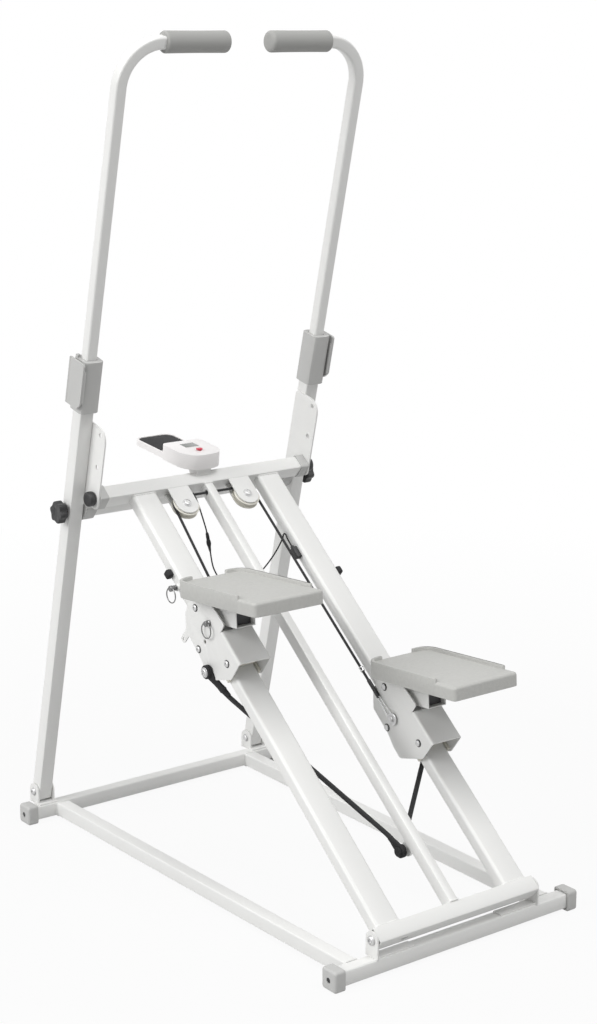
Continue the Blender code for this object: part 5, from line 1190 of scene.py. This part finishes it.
def pull_pin(side, sign, base):
    """Make the ring pin in the outer plate."""
    bm = bmesh.new()
    face = facing(base, sign, CARRIAGE_HALF + 0.0005, *LOCK_HOLE)
    lathe(bm, face, [
        (0, -0.0125), (0.0026, -0.0125), (0.0034, -0.0112), (0.0034, 0.0), (0.0058, 0.0002),
        (0.0060, 0.0022), (0.0048, 0.0030), (0.0048, 0.0082), (0.0042, 0.0088), (0, 0.0088)], 32)
    hang_ring(bm, face, 0.0056, 0.0014)
    piece(f"{side}_pull_pin", bm, f"pull_pin_{side}", "ring", (f"pull_pin_{side}",))


class CLIMBER_OT_carriages(bpy.types.Operator):
    """Carriages with their rollers, bolts, rope ends and pull pins"""
    bl_idname = "climber.carriages"
    bl_label = "Carriages"

    def execute(self, context):
        bolt = context.scene.climber_sizes.bolt
        for side, sign in SIDES.items():
            base = spot(RAIL, (sign * RAIL_X, CARRIAGE_REACH[side], 0))
            body = f"carriage_{side}"
            sheet(side, sign, base, body)
            hardware(side, sign, base, body, bolt)
            rope_end(side, sign, base, body)
            guides(side, base, body)
            rollers(side, base)
            pull_pin(side, sign, base)
        return {"FINISHED"}


# Pedals

def pedal_outline(inset):
    """Return a pedal's outline, set in by an amount."""
    half = PEDAL_WIDTH / 2 - inset
    rear, front = PEDAL_SPAN[0] + inset, PEDAL_SPAN[1] - inset
    toe, heel = PEDAL_TOE - inset, PEDAL_HEEL - inset
    return rounded([(half, front, toe), (-half, front, toe), (-half, rear, heel), (half, rear, heel)], 10)


def pedal(side, base):
    """Make the moulded pedal: a hollow body, the lips on its walls and the ribs underneath."""
    bm = bmesh.new()
    rear, front = PEDAL_SPAN
    floor = PEDAL_DECK - PEDAL_HEIGHT
    rows = [(PEDAL_WALL, PEDAL_DECK - 0.004), (PEDAL_WALL, floor), (0.0008, floor), (0.0, floor + 0.0008)]
    rows += [(PEDAL_EDGE * (1 - cosine), PEDAL_DECK - PEDAL_EDGE * (1 - sine)) for sine, cosine in arc(8)]
    stack(bm, base, [(pedal_outline(inset), z) for inset, z in rows])
    low = floor + PEDAL_HEIGHT / 2 - 0.001
    tall = PEDAL_HEIGHT - 0.004
    block(bm, spot(base, (0, (rear + front) / 2, low)), (PEDAL_WALL, front - rear - 0.004, tall), 0.0006, 2)
    for share in PEDAL_RIBS:
        y = rear + (front - rear) * share
        block(bm, spot(base, (0, y, low)), (PEDAL_WIDTH - 0.004, PEDAL_WALL, tall), 0.0006, 2)
    lip_middle = (floor + 0.0004 + PEDAL_DECK + PEDAL_LIP) / 2
    for way, end in PEDAL_LIP_ENDS:
        wall, inside = way * (PEDAL_WIDTH / 2 + PEDAL_LIP_PROUD), way * (PEDAL_WIDTH / 2 - PEDAL_LIP_DEPTH)
        tip, outer, inner = way * 0.035, front + PEDAL_LIP_PROUD, front - PEDAL_LIP_DEPTH
        corners = [
            (wall, end, 0.0025), (wall, outer, PEDAL_TOE), (tip, outer, 0.0015), (tip, inner, 0.0015),
            (inside, inner, PEDAL_TOE - PEDAL_LIP_DEPTH), (inside, end, 0.0025)]
        plate(bm, lift(base, lip_middle), [rounded(corners, 10)], PEDAL_HEIGHT + PEDAL_LIP - 0.0004, 0.0017)
    piece(f"{side}_pedal_tread", bm, f"pedal_{side}", "pedal", (f"pedal_{side}",))


class CLIMBER_OT_pedals(bpy.types.Operator):
    """Pedals and the arms under them"""
    bl_idname = "climber.pedals"
    bl_label = "Pedals"

    def execute(self, context):
        tall = PEDAL_DECK - PEDAL_HEIGHT - ARM_BOTTOM
        for side in SIDES:
            base = Matrix.Translation(joint_place(f"pedal_tilt_{side}")) @ Matrix.Rotation(-PEDAL_TILT, 4, "X")
            carried(f"{side}_arm", f"pedal_arm_{side}", f"pedal_{side}", "paint", 0.0006)
            # A near-black block set just inside the arm's open end: painted shade that darkens the tube's mouth.
            bm = bmesh.new()
            middle = (0, ARM_REAR + 0.012, ARM_BOTTOM + tall / 2)
            block(bm, spot(base, middle), (ARM_WIDTH - 0.0046, 0.003, tall - 0.0048), 0.0008, 2)
            piece(f"{side}_arm_plug", bm, f"pedal_{side}", "plug")
            pedal(side, base)
        return {"FINISHED"}


# Monitor, sensor and cable

CABLE_ROUTE = (
    (-0.0200, 0.9150, -0.0155), (-0.0190, 0.8960, -0.0190), (-0.0122, 0.8646, -0.0406),
    (-0.0079, 0.8490, -0.0547), (-0.0036, 0.8261, -0.0776), (0.0020, 0.7985, -0.1030),
    (0.0190, 0.7700, -0.1180), (0.0420, 0.7570, -0.1100), (0.0640, 0.7560, -0.0880),
    (0.0800, 0.7610, -0.0650), (0.0947, 0.7695, -0.0397), (0.1045, 0.7790, -0.0165),
    (0.1075, 0.7850, -0.0060), (0.1070, 0.7800, -0.0010), (0.1060, 0.7720, -0.0015),
    (0.1060, 0.7630, -0.0020), (0.1056, 0.7520, -0.0020))
CONNECTOR_SWELL = (0.5, 0.9, 1.15, 1.2, 1.2, 1.15, 1.5, 1.6, 1.6, 1.3, 1.0, 0.95, 0.8, 0.6)


def sensor(cable):
    """Make the counting sensor and its cable with the connector."""
    bm = bmesh.new()
    x = RAIL_X - RAIL_WIDTH / 2 - 0.0053
    block(bm, spot(RAIL, (x, *SENSOR)), (0.010, 0.024, 0.010), 0.0018)
    block(bm, spot(RAIL, (x - 0.0008, SENSOR[0] + 0.0135, SENSOR[1])), (0.0056, 0.0050, 0.0056), 0.0012)
    piece("sensor", bm, "rail_frame", "knob", ("count_sensor",))
    bm = bmesh.new()
    sweep(bm, [RAIL @ point for point in smooth_route(CABLE_ROUTE, 12)], cable / 2)
    joined = [RAIL @ point for point in smooth_route(CABLE_ROUTE[2:6], 12)][10:26]
    last = len(CONNECTOR_SWELL) - 1
    gap = (joined[-1] - joined[0]).length / last
    sweep(bm, joined, cable, 16, lambda turn, run: CONNECTOR_SWELL[min(last, int(run / gap))])
    piece("cable", bm, "rail_frame", "rubber", ("sensor_cable",), 60.0)


class CLIMBER_OT_monitor(bpy.types.Operator):
    """Monitor with its tray and button, the counting sensor and its cable"""
    bl_idname = "climber.monitor"
    bl_label = "Monitor"

    def execute(self, context):
        beam = RAIL @ Vector((0, BEAM_REACH, 0.001))
        base = Matrix.Translation(beam + UP * MONITOR_RISE) @ Matrix.Rotation(MONITOR_TILT, 4, "X")
        carried("monitor_shell", "monitor_housing", "rail_frame", "shell", 0.0012)
        mat = rounded([
            (0.0372, 0.1662, 0.016), (-0.0372, 0.1662, 0.016), (-0.0372, 0.0812, 0.003),
            (0.0372, 0.0812, 0.003)], 8)
        for name, material, outline, y, z, thick, edge in (
                ("tray_mat", "rubber", mat, 0, 0.0112, 0.0020, 0.0005),
                ("display_bezel", "shell", rectangle(0.036, 0.030, 0.003), 0.045, 0.0281, 0.0010, 0.0003),
                ("display", "display", rectangle(0.029, 0.022, 0.0015), 0.045, 0.0285, 0.0008, 0.0002)):
            bm = bmesh.new()
            plate(bm, spot(base, (0, y, z)), [outline], thick, edge)
            piece(name, bm, "rail_frame", material)
        bm = bmesh.new()
        press = spot(base, (0, 0.0125, 0.0252))
        rod(bm, press, 0.0038, 0, 0.0046, 32)
        plate(bm, lift(press, 0.0054), [rectangle(0.0125, 0.0090, 0.0044, 10)], 0.0026, 0.0009)
        piece("red_button", bm, "button", "button", ("monitor_button",))
        sensor(context.scene.climber_sizes.cable)
        return {"FINISHED"}


# Stage: each lamp's place, width and power, and the camera

LAMPS = {
    "key_lamp": ((-6.5, 1.0, 4.2), 4.5, 370.0),
    "top_lamp": ((0.0, -2.2, 7.5), 4.0, 262.0),
    "fill_lamp": ((2.2, -4.0, 5.2), 3.0, 62.0),
}
LAMP_AIM = Vector((0, 0, 0.6))
WORLD_LEVEL = 0.29
CAMERA_PLACE = (-2.0576, -2.7350, 1.4632)
CAMERA_TURN = (76.5596, 0.0, -37.2391)


def stand(name, data, place=(0, 0, 0), turn=(0, 0, 0)):
    """Stand a floor, lamp or camera in the scene."""
    made = bpy.data.objects.new(name, data)
    made.location = place
    made.rotation_euler = turn
    bpy.context.scene.collection.objects.link(made)
    return made


def floor_material():
    """Pale floor: near white to the camera under the climber, with a light share of its shadow."""
    made = Shader(bpy.data.materials.new("floor_white"))
    made.set(base_color=made.blend(made.noise(3.0), (0.52, 0.52, 0.52), (0.54, 0.54, 0.54)), roughness=0.9)
    distance = made.add("ShaderNodeVectorMath", {"operation": "LENGTH"}, {0: made.where()}, 1)
    far = made.add(
        "ShaderNodeMapRange", None,
        {"Value": distance, "From Min": 0.9, "From Max": 2.6, "To Min": 0.93, "To Max": 1.0})
    white = made.glow("ShaderNodeEmission", 1.0)
    mixed = made.mix(made.seen() * far, Value(made, made.surface.outputs[0]), white)
    made.feed(made.tree.nodes["Material Output"].inputs["Surface"], mixed)
    return made.owner


def world(scene):
    """White to the camera and in reflections, a soft even light for the rest."""
    scene.world = bpy.data.worlds.new("studio")
    made = Shader(scene.world)
    made.tree.nodes.clear()
    soft = made.glow("ShaderNodeBackground", WORLD_LEVEL)
    white = made.glow("ShaderNodeBackground", 1.0)
    made.add("ShaderNodeOutputWorld", None, {"Surface": made.mix(made.seen(), soft, white)}, None)


class CLIMBER_OT_stage(bpy.types.Operator):
    """Floor, world, lamps and camera"""
    bl_idname = "climber.stage"
    bl_label = "Stage"

    def execute(self, context):
        sizes = context.scene.climber_sizes
        context.scene.view_settings.view_transform = "Standard"
        bm = bmesh.new()
        bmesh.ops.create_grid(bm, x_segments=1, y_segments=1, size=sizes.floor / 2)
        mesh = bpy.data.meshes.new("studio_floor")
        bm.to_mesh(mesh)
        bm.free()
        mesh.materials.append(floor_material())
        stand("studio_floor", mesh)
        world(context.scene)
        for name, (place, width, power) in LAMPS.items():
            lamp = bpy.data.lights.new(name, "AREA")
            lamp.shape = "RECTANGLE"
            lamp.size = lamp.size_y = width
            lamp.energy = power
            aim = (LAMP_AIM - Vector(place)).to_track_quat("-Z", "Y")
            stand(name, lamp, place, aim.to_euler())
        camera = bpy.data.cameras.new("camera")
        camera.lens = sizes.lens
        camera.sensor_width = 36.0
        camera.clip_end = 200.0
        turn = [math.radians(angle) for angle in CAMERA_TURN]
        context.scene.camera = stand("camera", camera, CAMERA_PLACE, turn)
        return {"FINISHED"}


class CLIMBER_PT_panel(bpy.types.Panel):
    """Buttons for the climber's pieces"""
    bl_idname = "CLIMBER_PT_panel"
    bl_label = "Stair climber"
    bl_space_type = "VIEW_3D"
    bl_region_type = "UI"
    bl_category = "Climber"

    def draw(self, context):
        for operator in OPERATORS:
            self.layout.operator(operator.bl_idname)


OPERATORS = (
    CLIMBER_OT_base, CLIMBER_OT_posts, CLIMBER_OT_handles, CLIMBER_OT_rails, CLIMBER_OT_pulleys,
    CLIMBER_OT_rope, CLIMBER_OT_bands, CLIMBER_OT_carriages, CLIMBER_OT_pedals, CLIMBER_OT_monitor,
    CLIMBER_OT_stage)
CLASSES = (ClimberSizes, ClimberColours, *OPERATORS, CLIMBER_PT_panel)


def register():
    """Register the classes and their settings."""
    for item in CLASSES:
        bpy.utils.register_class(item)
    bpy.types.Scene.climber_sizes = PointerProperty(type=ClimberSizes)
    bpy.types.Scene.climber_colours = PointerProperty(type=ClimberColours)


def unregister():
    """Remove the settings and the classes."""
    del bpy.types.Scene.climber_colours
    del bpy.types.Scene.climber_sizes
    for item in reversed(CLASSES):
        bpy.utils.unregister_class(item)


def main():
    """Build every piece and the stage."""
    register()
    for operator in OPERATORS:
        name = operator.bl_idname.split(".")[1]
        getattr(bpy.ops.climber, name)()


if __name__ == "__main__":
    main()
